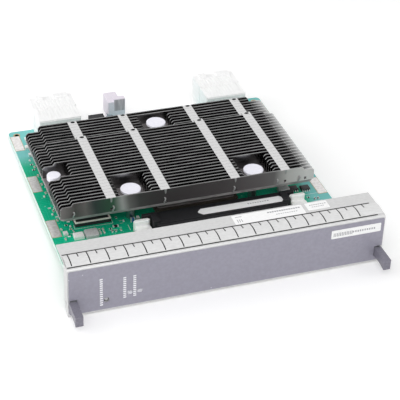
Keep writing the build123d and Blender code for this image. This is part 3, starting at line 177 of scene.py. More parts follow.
# detail of the grain's noise, and the parts of its range over which colour and roughness change
grainRules = {"detail": 3.0, "colourSpread": (0.35, 0.65), "roughSpread": (0.3, 0.7)}


def makeFinish(name, look):
    # a base colour that wanders to a second one over a grain, with roughness and height from the same grain
    material = bpy.data.materials.new(name)
    material.use_nodes = True
    tree = material.node_tree
    shader = tree.nodes["Principled BSDF"]
    for socket, value in look["shader"].items():
        shader.inputs[socket].default_value = value
    coords = addNode(tree, "TexCoord").outputs["Object"]
    stretched = addNode(tree, "Mapping", {"Scale": look.get("stretch", (1, 1, 1))}, {"Vector": coords})
    grain = addNode(tree, "TexNoise", {"Scale": 1000 / look["grain"], "Detail": grainRules["detail"]},
                    {"Vector": stretched})
    colours = addNode(tree, "ValToRGB", None, {"Fac": grain})
    ends = zip(colours.color_ramp.elements, grainRules["colourSpread"], look["colours"])
    for element, place, colour in ends:
        element.position, element.color = place, tint(colour)
    (low, high), (smooth, coarse) = grainRules["roughSpread"], look["rough"]
    rough = addNode(tree, "MapRange", {"From Min": low, "From Max": high, "To Min": smooth, "To Max": coarse},
                    {"Value": grain})
    height = addNode(tree, "Bump", {"Distance": look["relief"] / 1000}, {"Height": grain})
    joinSockets(tree, shader, {"Base Color": colours, "Roughness": rough, "Normal": height})
    return material, tree, shader, coords, colours


# Grain and relief are in mm. Skins that are finer than the render can show are drawn with a coarser grain.
finishes = {
    # rolled tin-plated steel: pale satin grey with long faint rolling streaks
    "tinPlatedSheet": {"colours": ("#cfcfcf", "#d8d8d8"), "grain": 0.9, "stretch": (0.5, 1, 1),
        "rough": (0.38, 0.48), "relief": 0.004, "shader": {"Metallic": 0.65}},
    # rolled spring steel: brighter satin strip, streaks across the fingers
    "springSheet": {"colours": ("#d9d9d9", "#e2e2e2"), "grain": 1.0, "stretch": (0.4, 1, 1),
        "rough": (0.36, 0.46), "relief": 0.003, "shader": {"Metallic": 0.7}},
    # nickel-plated sheet hooks, bent: brushed mid grey
    "bentNickel": {"colours": ("#8c8a8b", "#aeacad"), "grain": 0.6, "rough": (0.34, 0.44), "relief": 0.003,
        "shader": {"Metallic": 0.3}},
    # dark matt sheet under the finger strip, a painted shadow: shows as black lines in its slits and along
    # its edges
    "stripShadowSheet": {"colours": ("#1b1b1c", "#2a2a2b"), "grain": 0.6, "rough": (0.6, 0.75), "relief": 0.006,
        "shader": {"IOR": 1.47}},
    # painted shade: a black disc for the unlit inside of a punched hole, without a sheen
    "holeShade": {"colours": ("#0c0c0d", "#161617"), "grain": 0.5, "rough": (0.75, 0.85), "relief": 0.003,
        "shader": {"Specular IOR Level": 0.1}},
    # turned and plated screw steel: plain grey with a slight sheen
    "screwSteel": {"colours": ("#a9a9ad", "#c4c4c8"), "grain": 0.6, "rough": (0.28, 0.4), "relief": 0.003,
        "shader": {"Metallic": 1.0}},
    # hot-tinned pads: almost white, slightly uneven
    "tinnedPads": {"colours": ("#dedad8", "#f2efee"), "grain": 1.4, "rough": (0.32, 0.5), "relief": 0.01,
        "shader": {"Metallic": 0.6}},
    # nickel-plated machined plate: satin grey with fine milling variation
    "nickelPlate": {"colours": ("#7f7a7b", "#999495"), "grain": 0.9, "stretch": (0.2, 1, 1),
        "rough": (0.3, 0.42), "relief": 0.003, "shader": {"Metallic": 0.3}},
    # injection-moulded polycarbonate cap: clean blue-white, soft sheen
    "mouldedWhiteCap": {"colours": ("#f1f0fb", "#f7f6fe"), "grain": 1.5, "rough": (0.32, 0.42),
        "relief": 0.004, "shader": {"IOR": 1.58}},
    # organic chip laminate: brown-grey layers that run round the edge
    "laminateCarrier": {"colours": ("#37322d", "#50483f"), "grain": 1.0, "stretch": (0.05, 0.05, 3.0),
        "rough": (0.5, 0.65), "relief": 0.01, "shader": {"IOR": 1.5}},
    # transfer-moulded epoxy: near black with a fine matt spark-eroded skin
    "mouldedEpoxy": {"colours": ("#1c1c1e", "#2b2b2d"), "grain": 0.35, "rough": (0.5, 0.65),
        "relief": 0.012, "shader": {"IOR": 1.55}},
    # filled silicone: soft dull grey
    "thermalSilicone": {"colours": ("#6e6e6e", "#7d7d7d"), "grain": 0.7, "rough": (0.7, 0.85),
        "relief": 0.02, "shader": {"IOR": 1.41}},
    # stamped stiffener ring: cream coated metal, gently dull
    "creamStiffener": {"colours": ("#faf2e6", "#fefaf2"), "grain": 1.2, "rough": (0.4, 0.5),
        "relief": 0.004, "shader": {"Metallic": 0.0}},
    # glass-filled nylon of the memory socket: charcoal with a dry bloom
    "glassFilledNylon": {"colours": ("#19191b", "#27272a"), "grain": 0.5, "stretch": (0.3, 1, 1),
        "rough": (0.46, 0.62), "relief": 0.01, "shader": {"IOR": 1.53, "Specular IOR Level": 0.35}},
    # moulded nylon latch: warm ivory, satin
    "ivoryNylon": {"colours": ("#f6f5f2", "#fdfcfa"), "grain": 1.8, "rough": (0.35, 0.45), "relief": 0.006,
        "shader": {"IOR": 1.53, "Subsurface Weight": 0.05}},
    # moulded liquid-crystal polymer of the connectors: chalky white with faint flow lines
    "connectorPolymer": {"colours": ("#f6f6f6", "#fdfdfd"), "grain": 1.2, "stretch": (1, 0.15, 1),
        "rough": (0.5, 0.62), "relief": 0.004, "shader": {"IOR": 1.6, "Specular IOR Level": 0.35}},
    # zinc die casting under a pale lavender passivation that hides the metal: dull, fine grainy skin
    "zincCasting": {"colours": ("#e2dbe6", "#ece6ef"), "grain": 0.5, "rough": (0.45, 0.58), "relief": 0.015,
        "shader": {"Metallic": 0.0}},
    # the front face of the casting's tower under the same film: greyer, with upright streaks, a painted shade
    "shadedZincFace": {"colours": ("#a89fa6", "#d0c6cb"), "grain": 1.4, "stretch": (1, 1, 0.12),
        "rough": (0.35, 0.5), "relief": 0.02, "shader": {"Metallic": 0.0}},
    # gold flash over nickel pins
    "goldFlash": {"colours": ("#c79b45", "#dab35c"), "grain": 0.5, "rough": (0.2, 0.3), "relief": 0.002,
        "shader": {"Metallic": 1.0}},
    # pressed iron-powder choke: mid grey, granular
    "pressedPowder": {"colours": ("#adadad", "#c4c4c4"), "grain": 0.45, "rough": (0.5, 0.65),
        "relief": 0.02, "shader": {"IOR": 1.5}},
    # glazed white ceramic of the filter block
    "glazedCeramic": {"colours": ("#e6e6e4", "#f2f2f0"), "grain": 0.8, "rough": (0.25, 0.38),
        "relief": 0.004, "shader": {"IOR": 1.6}},
    # sintered ceramic capacitor body: tan, fine grained
    "tanCeramic": {"colours": ("#8f7c68", "#ab9883"), "grain": 0.4, "rough": (0.4, 0.5), "relief": 0.004,
        "shader": {"IOR": 1.6}},
    # glazed chip resistor: black glass, a little shine
    "glazedResistor": {"colours": ("#151517", "#232326"), "grain": 0.4, "rough": (0.25, 0.35),
        "relief": 0.003, "shader": {"IOR": 1.52}},
    # blue epoxy dip of the filter capacitor
    "blueEpoxy": {"colours": ("#27558c", "#3a6ea8"), "grain": 0.4, "rough": (0.3, 0.4), "relief": 0.004,
        "shader": {"IOR": 1.5}},
    # tan gold-tinged bare copper ring round holes and pads
    "bareCopper": {"colours": ("#b39a78", "#c8b08c"), "grain": 0.5, "rough": (0.35, 0.45), "relief": 0.003,
        "shader": {"Metallic": 0.5}},
    # stoved enamel of the pull handles: darker than the face, satin
    "stovedEnamel": {"colours": ("#72707c", "#807e8a"), "grain": 0.8, "rough": (0.34, 0.44),
        "relief": 0.006, "shader": {"IOR": 1.5}},
    # clear polycarbonate light guide: slightly milky
    "clearGuide": {"colours": ("#d6d5df", "#e2e1ea"), "grain": 2.0, "rough": (0.2, 0.3), "relief": 0.002,
        "shader": {"IOR": 1.58, "Transmission Weight": 0.25}},
    # moulded acetal button: light grey, soft
    "greyAcetal": {"colours": ("#b4b4b4", "#c2c2c2"), "grain": 0.8, "rough": (0.38, 0.48), "relief": 0.004,
        "shader": {"IOR": 1.48}},
    # screen-printed ink: dense white with slightly ragged cover
    "whiteInk": {"colours": ("#e4e4ea", "#f6f6f8"), "grain": 0.35, "rough": (0.5, 0.6), "relief": 0.003,
        "shader": {"IOR": 1.48}},
    # coated label paper: clean white, faintly fibrous
    "labelPaper": {"colours": ("#f6f6f6", "#fdfdfd"), "grain": 0.6, "stretch": (0.4, 1, 1),
        "rough": (0.45, 0.55), "relief": 0.004, "shader": {"IOR": 1.48}},
    # thermal print on a label: soft dark grey
    "greyPrint": {"colours": ("#9a9a9e", "#b4b4b8"), "grain": 0.3, "rough": (0.55, 0.65), "relief": 0.002,
        "shader": {"IOR": 1.48}},
}
materials = {name: makeFinish(name, look)[0] for name, look in finishes.items()}

coatLook = {"colours": ("#94929f", "#9a98a6"), "grain": 1.6, "rough": (0.4, 0.5), "relief": 0.006,
            "shader": {"IOR": 1.5}, "speckSize": 9.0, "speckShare": 0.035, "speckColour": "#c9c8d2"}


def makeCoat(look):
    # textured purple-grey powder coat: satin orange-peel skin with a pale speck here and there
    material, tree, shader, coords, colours = makeFinish("specklePowderCoat", look)
    cells = addNode(tree, "TexVoronoi", {"Scale": 1000 / look["speckSize"]}, {"Vector": coords})
    speck = addNode(tree, "Math", {"operation": "LESS_THAN", 1: look["speckShare"]}, {0: cells})
    mixed = addNode(tree, "Mix", {"data_type": "RGBA", 7: tint(look["speckColour"])}, {0: speck, 6: colours})
    joinSockets(tree, shader, {"Base Color": mixed})
    return material


def axesAndNormal(tree, coords):
    facing = addNode(tree, "NewGeometry").outputs["Normal"]
    return [addNode(tree, "SeparateXYZ", None, {"Vector": source}).outputs for source in (coords, facing)]


maskLook = {"colours": ("#00aa7d", "#06b88b"), "grain": 9.0, "rough": (0.3, 0.4), "relief": 0.004,
            "shader": {"IOR": 1.52, "Specular IOR Level": 0.12}, "copper": "#2fbb98", "edge": "#dcefe8",
            # the walls of holes and notch are painted dark, a painted shade; the outer edges lie further than
            # this from the middle, in mm to the side and to the back
            "wall": "#123c32", "wallTilt": 0.5, "outerFrom": (78.0, 85.6),
            # the rear colour is a pale painted reflection over the rear and right of the board
            "rear": "#84cccd", "rearReflectionShare": 0.85, "rearReflectionSpans": {"Y": (128.0, 140.0), "X": (147.0, 152.0)},
            "trackPitch": 1.6, "trackLength": 14.0, "trackWidth": 0.16, "trackBlur": 0.3, "fieldSize": 24.0,
            "viaPitch": 3.1, "viaShare": 0.12, "viaColour": "#7fcdb4"}
moduleLook = {**maskLook, "colours": ("#04553d", "#076347"), "copper": "#0b7152", "wall": "#2f8f70",
              "rearReflectionShare": 0.0, "trackPitch": 0.9, "trackLength": 7.0, "viaColour": "#3f8a72"}


def makeSolderMask(name, look):
    # epoxy solder mask over copper: green with tracks a shade lighter, a painted pale reflection over the
    # rear and right of the board, and a pale sawn edge. Real tracks are too fine to show in the render, so
    # these are drawn wider.
    material, tree, shader, coords, colours = makeFinish(name, look)
    tracks = []
    for turn in (0.0, math.pi / 2):
        turned = addNode(tree, "Mapping", {"Rotation": (0, 0, turn)}, {"Vector": coords})
        rows = addNode(tree, "TexBrick", {
            "Scale": 1000.0, "Brick Width": look["trackLength"], "Row Height": look["trackPitch"],
            "Mortar Size": look["trackWidth"], "Mortar Smooth": look["trackBlur"]}, {"Vector": turned})
        tracks.append(rows.outputs["Fac"])
    fields = addNode(tree, "TexNoise", {"Scale": 1000 / look["fieldSize"], "Detail": 1.0},
                     {"Vector": coords})
    choice = addNode(tree, "Math", {"operation": "GREATER_THAN", 1: 0.5}, {0: fields})
    drawn = addNode(tree, "Mix", {"data_type": "FLOAT"}, {0: choice, 2: tracks[0], 3: tracks[1]})
    cells = addNode(tree, "TexVoronoi", {"Scale": 1000 / look["viaPitch"]}, {"Vector": coords})
    via = addNode(tree, "Math", {"operation": "LESS_THAN", 1: look["viaShare"]}, {0: cells})
    axes, normal = axesAndNormal(tree, coords)
    behind, beside = (addNode(tree, "MapRange", {
        "From Min": placeOn(axis, start), "From Max": placeOn(axis, stop), "To Max": look["rearReflectionShare"]},
        {"Value": axes[axis]}) for axis, (start, stop) in look["rearReflectionSpans"].items())
    reflectionMask = addNode(tree, "Math", {"operation": "MAXIMUM"}, {0: behind, 1: beside})
    painted = colours
    for mask, colour in ((drawn, "copper"), (via, "viaColour"), (reflectionMask, "rear")):
        painted = addNode(tree, "Mix", {"data_type": "RGBA", 7: tint(look[colour])}, {0: mask, 6: painted})
    # the sawn outer edge is pale; the walls of the holes and the notch take the wall colour, dark on the main
    # board, a painted shade
    across = addNode(tree, "Math", {"operation": "ABSOLUTE"}, {0: axes["X"]})
    atSide, atBack = (addNode(tree, "Math", {"operation": "GREATER_THAN", 1: limit / 1000}, {0: source})
                      for limit, source in zip(look["outerFrom"], (across, axes["Y"])))
    outer = addNode(tree, "Math", {"operation": "MAXIMUM"}, {0: atSide, 1: atBack})
    wall = addNode(tree, "Mix", {"data_type": "RGBA", 6: tint(look["wall"]), 7: tint(look["edge"])},
                   {0: outer})
    upright = addNode(tree, "Math", {"operation": "COMPARE", 1: 0.0, 2: look["wallTilt"]}, {0: normal["Z"]})
    edged = addNode(tree, "Mix", {"data_type": "RGBA"}, {0: upright, 6: painted, 7: wall})
    joinSockets(tree, shader, {"Base Color": edged})
    return material


finLook = {"colours": ("#747474", "#959595"), "grain": 2.4, "stretch": (0.25, 1, 1), "rough": (0.16, 0.26),
           "relief": 0.006, "shader": {"Metallic": 1.0}, "facing": 0.6, "stripColour": "#d6d6d6",
           "stripRough": 0.5, "stripCentres": (37.2, 66.6, 105.6, 134.2), "stripHalf": 2.62,
           # the fins' right ends get a painted highlight
           "highlightSpan": (142.5, 151.5), "highlightColour": "#e6e6e6", "highlightShare": 0.95,
           "plateBack": 54.7, "plateMetallic": 0.0, "plateRough": 0.34, "plateSpan": (10.0, 150.0),
           # the front plate's colours are painted reflections, one of them green from the board
           "plateReflectionColours": ((0.0, "#7d7274"), (0.05, "#4e4446"), (0.09, "#6a5f61"), (0.13, "#38373a"),
                            (0.2, "#37503f"), (0.235, "#a19c9d"), (0.265, "#676062"), (0.31, "#3a3537"),
                            (0.62, "#4a4446"), (0.84, "#696365"), (0.9, "#b8b4b3"), (1.0, "#d0cccb")),
           "plateWave": 0.05, "waveSize": 18.0}


def makeFinMetal(look):
    # bright nickel over folded fins: mirror-like, so the gaps go black, with satin rubbed strips on the tabs
    material, tree, shader, coords, colours = makeFinish("platedFinSheet", look)
    axes, normal = axesAndNormal(tree, coords)
    bands = None
    for centre in look["stripCentres"]:
        near = addNode(tree, "Math", {"operation": "COMPARE", 1: placeOn("X", centre),
                                      2: look["stripHalf"] / 1000}, {0: axes["X"]})
        bands = near if bands is None else addNode(tree, "Math", {"operation": "MAXIMUM"},
                                                   {0: bands, 1: near})
    upward = addNode(tree, "Math", {"operation": "GREATER_THAN", 1: look["facing"]}, {0: normal["Z"]})
    strip = addNode(tree, "Math", {"operation": "MULTIPLY"}, {0: bands, 1: upward})
    # the first fin is a closed front plate, satin, with slow bands of light and dark across it: painted
    # reflections, one of them green from the board
    ahead = addNode(tree, "Math", {"operation": "LESS_THAN", 1: placeOn("Y", look["plateBack"])},
                    {0: axes["Y"]})
    forward = addNode(tree, "Math", {"operation": "LESS_THAN", 1: -look["facing"]}, {0: normal["Y"]})
    plate = addNode(tree, "Math", {"operation": "MULTIPLY"}, {0: ahead, 1: forward})
    # the fins' right ends are painted light and less metallic: a painted highlight
    highlight, across = (addNode(tree, "MapRange", {
        "From Min": placeOn("X", start), "From Max": placeOn("X", stop), "To Max": share},
        {"Value": axes["X"]})
        for (start, stop), share in ((look["highlightSpan"], look["highlightShare"]), (look["plateSpan"], 1.0)))
    waves = addNode(tree, "TexNoise", {"Scale": 1000 / look["waveSize"], "Detail": 1.0}, {"Vector": coords})
    shifted = addNode(tree, "Math", {"operation": "MULTIPLY_ADD", 1: look["plateWave"]},
                      {0: waves, 2: across})
    plateReflection = addNode(tree, "ValToRGB", None, {"Fac": shifted})
    ramp = plateReflection.color_ramp
    while len(ramp.elements) < len(look["plateReflectionColours"]):
        ramp.elements.new(0.5)
    for element, (place, colour) in zip(ramp.elements, look["plateReflectionColours"]):
        element.position, element.color = min(1.0, place + look["plateWave"] / 2), tint(colour)
    painted, rough = colours, shader.inputs["Roughness"].links[0].from_socket
    for mask, colour in ((highlight, "highlightColour"), (strip, "stripColour")):
        painted = addNode(tree, "Mix", {"data_type": "RGBA", 7: tint(look[colour])}, {0: mask, 6: painted})
    for mask, value in ((strip, "stripRough"), (plate, "plateRough")):
        rough = addNode(tree, "Mix", {"data_type": "FLOAT", 3: look[value]}, {0: mask, 2: rough})
    plated = addNode(tree, "Mix", {"data_type": "RGBA"}, {0: plate, 6: painted, 7: plateReflection})
    duller = addNode(tree, "Math", {"operation": "MAXIMUM"}, {0: plate, 1: highlight})
    metallic = addNode(tree, "MapRange", {"To Min": look["shader"]["Metallic"],
                                          "To Max": look["plateMetallic"]}, {"Value": duller})
    joinSockets(tree, shader, {"Base Color": plated, "Roughness": rough, "Metallic": metallic})
    return material


materials["specklePowderCoat"] = makeCoat(coatLook)
materials["solderMask"] = makeSolderMask("solderMask", maskLook)
materials["moduleMask"] = makeSolderMask("moduleMask", moduleLook)
materials["platedFinSheet"] = makeFinMetal(finLook)
print("materials made:", len(materials))


# Pieces

meshRules = {"sharpAngle": 17, "flatAngle": 1, "roundAngle": 40, "cornerAngle": 60,      # degrees
             "merge": 2e-6, "touch": 1e-6, "snap": 1e-7}                                 # metres


def addBlock(mesh, xSpan, ySpan, zSpan):
    low, high = spot(xSpan[0], ySpan[0], zSpan[0]), spot(xSpan[1], ySpan[1], zSpan[1])
    sized = Matrix.Translation((low + high) / 2) @ Matrix.Diagonal((*(high - low), 1))
    return bmesh.ops.create_cube(mesh, size=1.0, matrix=sized)["verts"]


def addRod(mesh, centre, zSpan, radius, sides):
    middle = Matrix.Translation(spot(centre[0], centre[1], sum(zSpan) / 2))
    return bmesh.ops.create_cone(mesh, cap_ends=True, cap_tris=False, segments=sides,
                                 radius1=radius / 1000, radius2=radius / 1000,
                                 depth=(zSpan[1] - zSpan[0]) / 1000, matrix=middle)["verts"]


def edgesOf(verts):
    return {edge for vert in verts for edge in vert.link_edges}


def edgesAlong(verts, axis):
    return [e for e in edgesOf(verts) if abs(e.verts[0].co[axis] - e.verts[1].co[axis]) > meshRules["touch"]]


def isCorner(edge, angle="cornerAngle"):
    return edge.calc_face_angle(0) > math.radians(meshRules[angle])


def grownFrom(geom):
    # the new vertices and the new open edges of an extrusion
    return ([g for g in geom if isinstance(g, bmesh.types.BMVert)],
            [g for g in geom if isinstance(g, bmesh.types.BMEdge) and g.is_boundary])


def roundEdges(mesh, edges, radius, segments=2):
    bmesh.ops.bevel(mesh, geom=list(edges), offset=radius / 1000, offset_type="OFFSET", segments=segments,
                    profile=0.5, affect="EDGES", material=-1, clamp_overlap=True)


def finishPiece(mesh, name, material, body="card", standsFor=()):
    data = bpy.data.meshes.new(name)
    mesh.to_mesh(data)
    mesh.free()
    data.materials.append(materials[material])
    for face in data.polygons:
        face.use_smooth = True
    data.set_sharp_from_angle(angle=math.radians(meshRules["sharpAngle"]))
    piece = bpy.data.objects.new(name, data)
    scene.collection.objects.link(piece)
    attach(piece, body)
    if standsFor:
        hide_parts(*standsFor)


def roundedCopy(node, name, material, slotName, radius, body="card", segments=2, above=0.0):
    # the CAD shape with its sharp edges rounded as the real maker leaves them. A CAD mesh is loose triangles,
    # so a copy is merged and its flat faces joined first.
    mesh = bmesh.new()
    mesh.from_mesh(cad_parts[node].data)
    bmesh.ops.remove_doubles(mesh, verts=mesh.verts, dist=meshRules["merge"])
    bmesh.ops.dissolve_limit(mesh, angle_limit=math.radians(meshRules["flatAngle"]), verts=mesh.verts,
                             edges=mesh.edges)
    sharp = [edge for edge in mesh.edges if len(edge.link_faces) == 2 and isCorner(edge, "roundAngle")
             and (not above or min(v.co.z for v in edge.verts) > above / 1000)]
    roundEdges(mesh, sharp, radius, segments)
    finishPiece(mesh, name, material, body, (node,))


# CAD nodes whose shape stays get only their finish
keptNodes = {
    "switch_body": "mouldedEpoxy", "light_guides": "clearGuide", "main_board": "solderMask",
    "ground_pads": "tinnedPads", "board_spacers": "screwSteel", "board_screws": "screwSteel",
    "handle_screws": "screwSteel", "heatsink_screws": "screwSteel", "screw_posts": "screwSteel",
    "processor_carrier": "laminateCarrier", "processor_lid": "nickelPlate", "thermal_pad": "thermalSilicone",
    "latch_pins": "screwSteel", "header_pins": "goldFlash", "chip_leads": "tinnedPads",
    "memory_board": "moduleMask",
}
for node, finish in keptNodes.items():
    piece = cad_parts[node]
    piece.data.materials.clear()
    piece.data.materials.append(materials[finish])

# node: piece, finish, slot, edge radius in mm, and where they differ, body, segments and lowest rounded edge
roundedNodes = {
    "faceplate_pan": ("foldedFront", "tinPlatedSheet", "pan_steel", 0.12),
    "face_skin": ("faceSkin", "specklePowderCoat", "face_coat", 0.12),
    "pull_handle_left": ("pullHandleLeft", "stovedEnamel", "face_coat", 0.35, "card", 3),
    "pull_handle_right": ("pullHandleRight", "stovedEnamel", "face_coat", 0.35, "card", 3),
    "button_plunger": ("resetButton", "greyAcetal", "button_grey", 0.2, "button", 3),
    "heatsink_base": ("sinkBase", "nickelPlate", "sink_base", 0.15),
    "bridge_chip": ("bridgeChip", "mouldedEpoxy", "chip_black", 0.1),
    "memory_socket": ("memorySocket", "glassFilledNylon", "socket_black", 0.15),
    "memory_chips": ("memoryChips", "mouldedEpoxy", "chip_black", 0.06),
    "memory_latch_left": ("memoryLatchLeft", "ivoryNylon", "ivory", 0.3, "latch_left", 3),
    "memory_latch_right": ("memoryLatchRight", "ivoryNylon", "ivory", 0.3, "latch_right", 3),
    "connector_shell_left": ("connectorShellLeft", "connectorPolymer", "connector_white", 0.12),
    "connector_shell_right": ("connectorShellRight", "connectorPolymer", "connector_white", 0.12),
    "connector_wafers_left": ("connectorWafersLeft", "connectorPolymer", "connector_white", 0.08),
    "connector_wafers_right": ("connectorWafersRight", "connectorPolymer", "connector_white", 0.08),
    "rear_header": ("rearHeader", "glassFilledNylon", "socket_black", 0.15),
    "power_chokes": ("powerChokes", "pressedPowder", "choke_grey", 0.12),
    "filter_block": ("filterBlock", "glazedCeramic", "ceramic_white", 0.12),
    "outline_chips": ("outlineChips", "mouldedEpoxy", "chip_black", 0.08),
    "front_fin_bank": ("frontFinBank", "platedFinSheet", "sink_metal", 0.1, "card", 2, 26.0),
    "rear_fin_bank": ("rearFinBank", "platedFinSheet", "sink_metal", 0.1, "card", 2, 23.5),
}
for node, row in roundedNodes.items():
    roundedCopy(node, *row)
print("rounded copies made:", len(roundedNodes))

capShape = {
    # x, y, radius and underside of each cap in mm
    "places": ((50.7, 65.1, 5.5, 24.4), (119.7, 64.8, 5.5, 24.4), (83.5, 126.6, 5.5, 24.4),
               (14.9, 88.9, 3.7, 22.9)),
    "top": 25.7, "sides": 64, "edge": 0.4, "edgeSegments": 4, "recessInset": 1.1, "recessDepth": 0.06}


def roundFace(mesh, centre, sides):
    return next(f for f in mesh.faces if len(f.verts) == sides
                and (f.calc_center_median() - centre).length < meshRules["touch"])


def makeCaps(shape):
    mesh = bmesh.new()
    for x, y, radius, low in shape["places"]:
        addRod(mesh, (x, y), (low, shape["top"]), radius, shape["sides"])
        centre = spot(x, y, shape["top"])
        rim = roundFace(mesh, centre, shape["sides"]).edges
        roundEdges(mesh, rim, shape["edge"], shape["edgeSegments"])
        top = [roundFace(mesh, centre, shape["sides"])]
        bmesh.ops.inset_region(mesh, faces=top, thickness=shape["recessInset"] / 1000, use_even_offset=True)
        bmesh.ops.inset_region(mesh, faces=top, thickness=shape["recessDepth"] / 1000,
                               depth=-shape["recessDepth"] / 1000, use_even_offset=True)
    finishPiece(mesh, "screwCaps", "mouldedWhiteCap", standsFor=("screw_caps",))


springShape = {"wire": 0.3, "radius": 2.2, "turns": 2.5, "zSpan": (20.8, 22.8), "steps": 24, "wireSides": 8}


def makeSprings(shape):
    mesh = bmesh.new()
    for x, y, *_ in capShape["places"]:
        start = spot(x + shape["radius"], y, shape["zSpan"][0])
        ring = bmesh.ops.create_circle(mesh, cap_ends=False, segments=shape["wireSides"],
                                       radius=shape["wire"] / 1000, matrix=Matrix.Translation(start)
                                       @ Matrix.Rotation(math.pi / 2, 4, "X"))["verts"]
        steps = int(shape["turns"] * shape["steps"])
        rise = (shape["zSpan"][1] - shape["zSpan"][0]) / 1000 / steps
        bmesh.ops.spin(mesh, geom=ring + list(edgesOf(ring)), cent=spot(x, y, 0), axis=(0, 0, 1),
                       dvec=(0, 0, rise), angle=shape["turns"] * 2 * math.pi, steps=steps)
    bmesh.ops.holes_fill(mesh, edges=[e for e in mesh.edges if e.is_boundary])
    bmesh.ops.recalc_face_normals(mesh, faces=mesh.faces)
    finishPiece(mesh, "screwSprings", "screwSteel", standsFor=("screw_springs",))


stripShape = {"xSpan": (0.4, 167.6), "ySpan": (2.1, 12.0), "under": 29.0, "thick": 0.3, "rise": 0.8,
              "fullness": 0.8, "firstSlit": 2.8, "slitEnd": 162.9, "pitch": 9.475, "slit": 0.6,
              "frontWeb": 0.35, "shortSlit": 3.6, "curveCuts": 9}


def makeFingerStrip(shape):
    mesh = bmesh.new()
    (left, right), (front, back) = shape["xSpan"], shape["ySpan"]
    low, high = spot(left, front, 0), spot(right, back, 0)
    sheet = Matrix.Translation((low + high) / 2) @ Matrix.Diagonal(((high - low).x, (high - low).y, 1, 1))
    bmesh.ops.create_grid(mesh, x_segments=1, y_segments=1, size=0.5, matrix=sheet)
    slits = []
    x = shape["firstSlit"]
    while x < shape["slitEnd"]:
        slits.append((x, front + shape["frontWeb"]))
        if x + shape["pitch"] / 2 < shape["slitEnd"]:
            slits.append((x + shape["pitch"] / 2, back - shape["shortSlit"]))
        x += shape["pitch"]
    cutsAlongX = [cut for x, _ in slits for cut in (x, x + shape["slit"])]
    cutsAlongY = [front + shape["frontWeb"], back - shape["shortSlit"]]
    steps = shape["curveCuts"] + 1
    cutsAlongY += [front + (back - front) * i / steps for i in range(1, steps)]
    for cuts, facing in ((cutsAlongX, (1, 0, 0)), (cutsAlongY, (0, 1, 0))):
        for cut in cuts:
            bmesh.ops.bisect_plane(mesh, geom=mesh.verts[:] + mesh.edges[:] + mesh.faces[:],
                                   dist=meshRules["snap"], plane_co=spot(cut, cut, 0), plane_no=facing)
    gone = []
    for face in mesh.faces:
        middle = face.calc_center_median() * 1000 - frontCorner
        if any(x < middle.x < x + shape["slit"] and middle.y > start for x, start in slits):
            gone.append(face)
    bmesh.ops.delete(mesh, geom=gone, context="FACES")
    for vert in mesh.verts:
        along = (vert.co.y * 1000 - frontCorner.y - front) / (back - front)
        crown = max(0.0, math.sin(math.pi * along)) ** shape["fullness"]
        vert.co.z = (shape["under"] + shape["rise"] * crown) / 1000
    bmesh.ops.solidify(mesh, geom=mesh.faces[:], thickness=-shape["thick"] / 1000)
    bmesh.ops.recalc_face_normals(mesh, faces=mesh.faces)
    finishPiece(mesh, "fingerStrip", "springSheet", standsFor=("finger_strip",))


stripShadowShape = {"xSpan": (0.6, 164.2), "ySpan": (1.5, 13.1), "zSpan": (29.0, 29.12), "edge": 0.05}


def makeStripShadow(shape):
    # a painted shadow: a dark sheet under the finger strip, a little wider than it, so its slits and edges
    # show black
    mesh = bmesh.new()
    verts = addBlock(mesh, shape["xSpan"], shape["ySpan"], shape["zSpan"])
    roundEdges(mesh, edgesOf(verts), shape["edge"], 1)
    finishPiece(mesh, "fingerStripShadow", "stripShadowSheet")


makeCaps(capShape)
makeSprings(springShape)
makeFingerStrip(stripShape)
makeStripShadow(stripShadowShape)
print("caps, springs and finger strip made")


# Heatsink hooks
hookShape = {
    "plateFront": 54.3, "thick": 0.25, "edge": 0.08,
    # a tongue hangs from the front end of each strip, and an ear curls out of the hole below it
    "tongues": {"xs": (37.2, 66.6, 105.6, 134.2), "width": 1.3, "zSpan": (26.4, 29.0), "taper": 0.55},
    "ears": {"xs": (17.0, 38.2, 66.2, 104.9, 129.6, 142.2), "width": 0.8, "top": 24.0, "drop": 3.6, "cuts": 8,
             "swing": 0.35, "proud": 0.5},
}


def makeHooks(shape):
    mesh = bmesh.new()
    front, thick = shape["plateFront"], shape["thick"]
    tongues, ears = shape["tongues"], shape["ears"]
    for x in tongues["xs"]:
        half = tongues["width"] / 2
        verts = addBlock(mesh, (x - half, x + half), (front - thick, front), tongues["zSpan"])
        low = [v for v in verts if v.co.z < placeOn("Z", sum(tongues["zSpan"]) / 2)]
        bmesh.ops.scale(mesh, vec=(tongues["taper"], 1, 1), verts=low,
                        space=Matrix.Translation(-spot(x, front, 0)))
        roundEdges(mesh, edgesOf(verts), shape["edge"])
    for x in ears["xs"]:
        half = ears["width"] / 2
        zSpan = (ears["top"] - ears["drop"], ears["top"])
        verts = addBlock(mesh, (x - half, x + half), (front - thick, front), zSpan)
        bmesh.ops.subdivide_edges(mesh, edges=edgesAlong(verts, 2), cuts=ears["cuts"])
        middle = spot(x, front, sum(zSpan) / 2)
        for vert in [v for v in mesh.verts if (v.co - middle).length < ears["drop"] / 1000]:
            down = (ears["top"] / 1000 - vert.co.z) * 1000 / ears["drop"]
            vert.co.x += ears["swing"] / 1000 * math.sin(2 * math.pi * down)
            vert.co.y -= ears["proud"] / 1000 * math.sin(math.pi * down)
    finishPiece(mesh, "heatsinkHooks", "bentNickel")


rimShape = {"left": 20.0, "front": 63.6, "size": 19.5, "zSpan": (9.4, 10.1), "width": 0.8, "edge": 0.12}


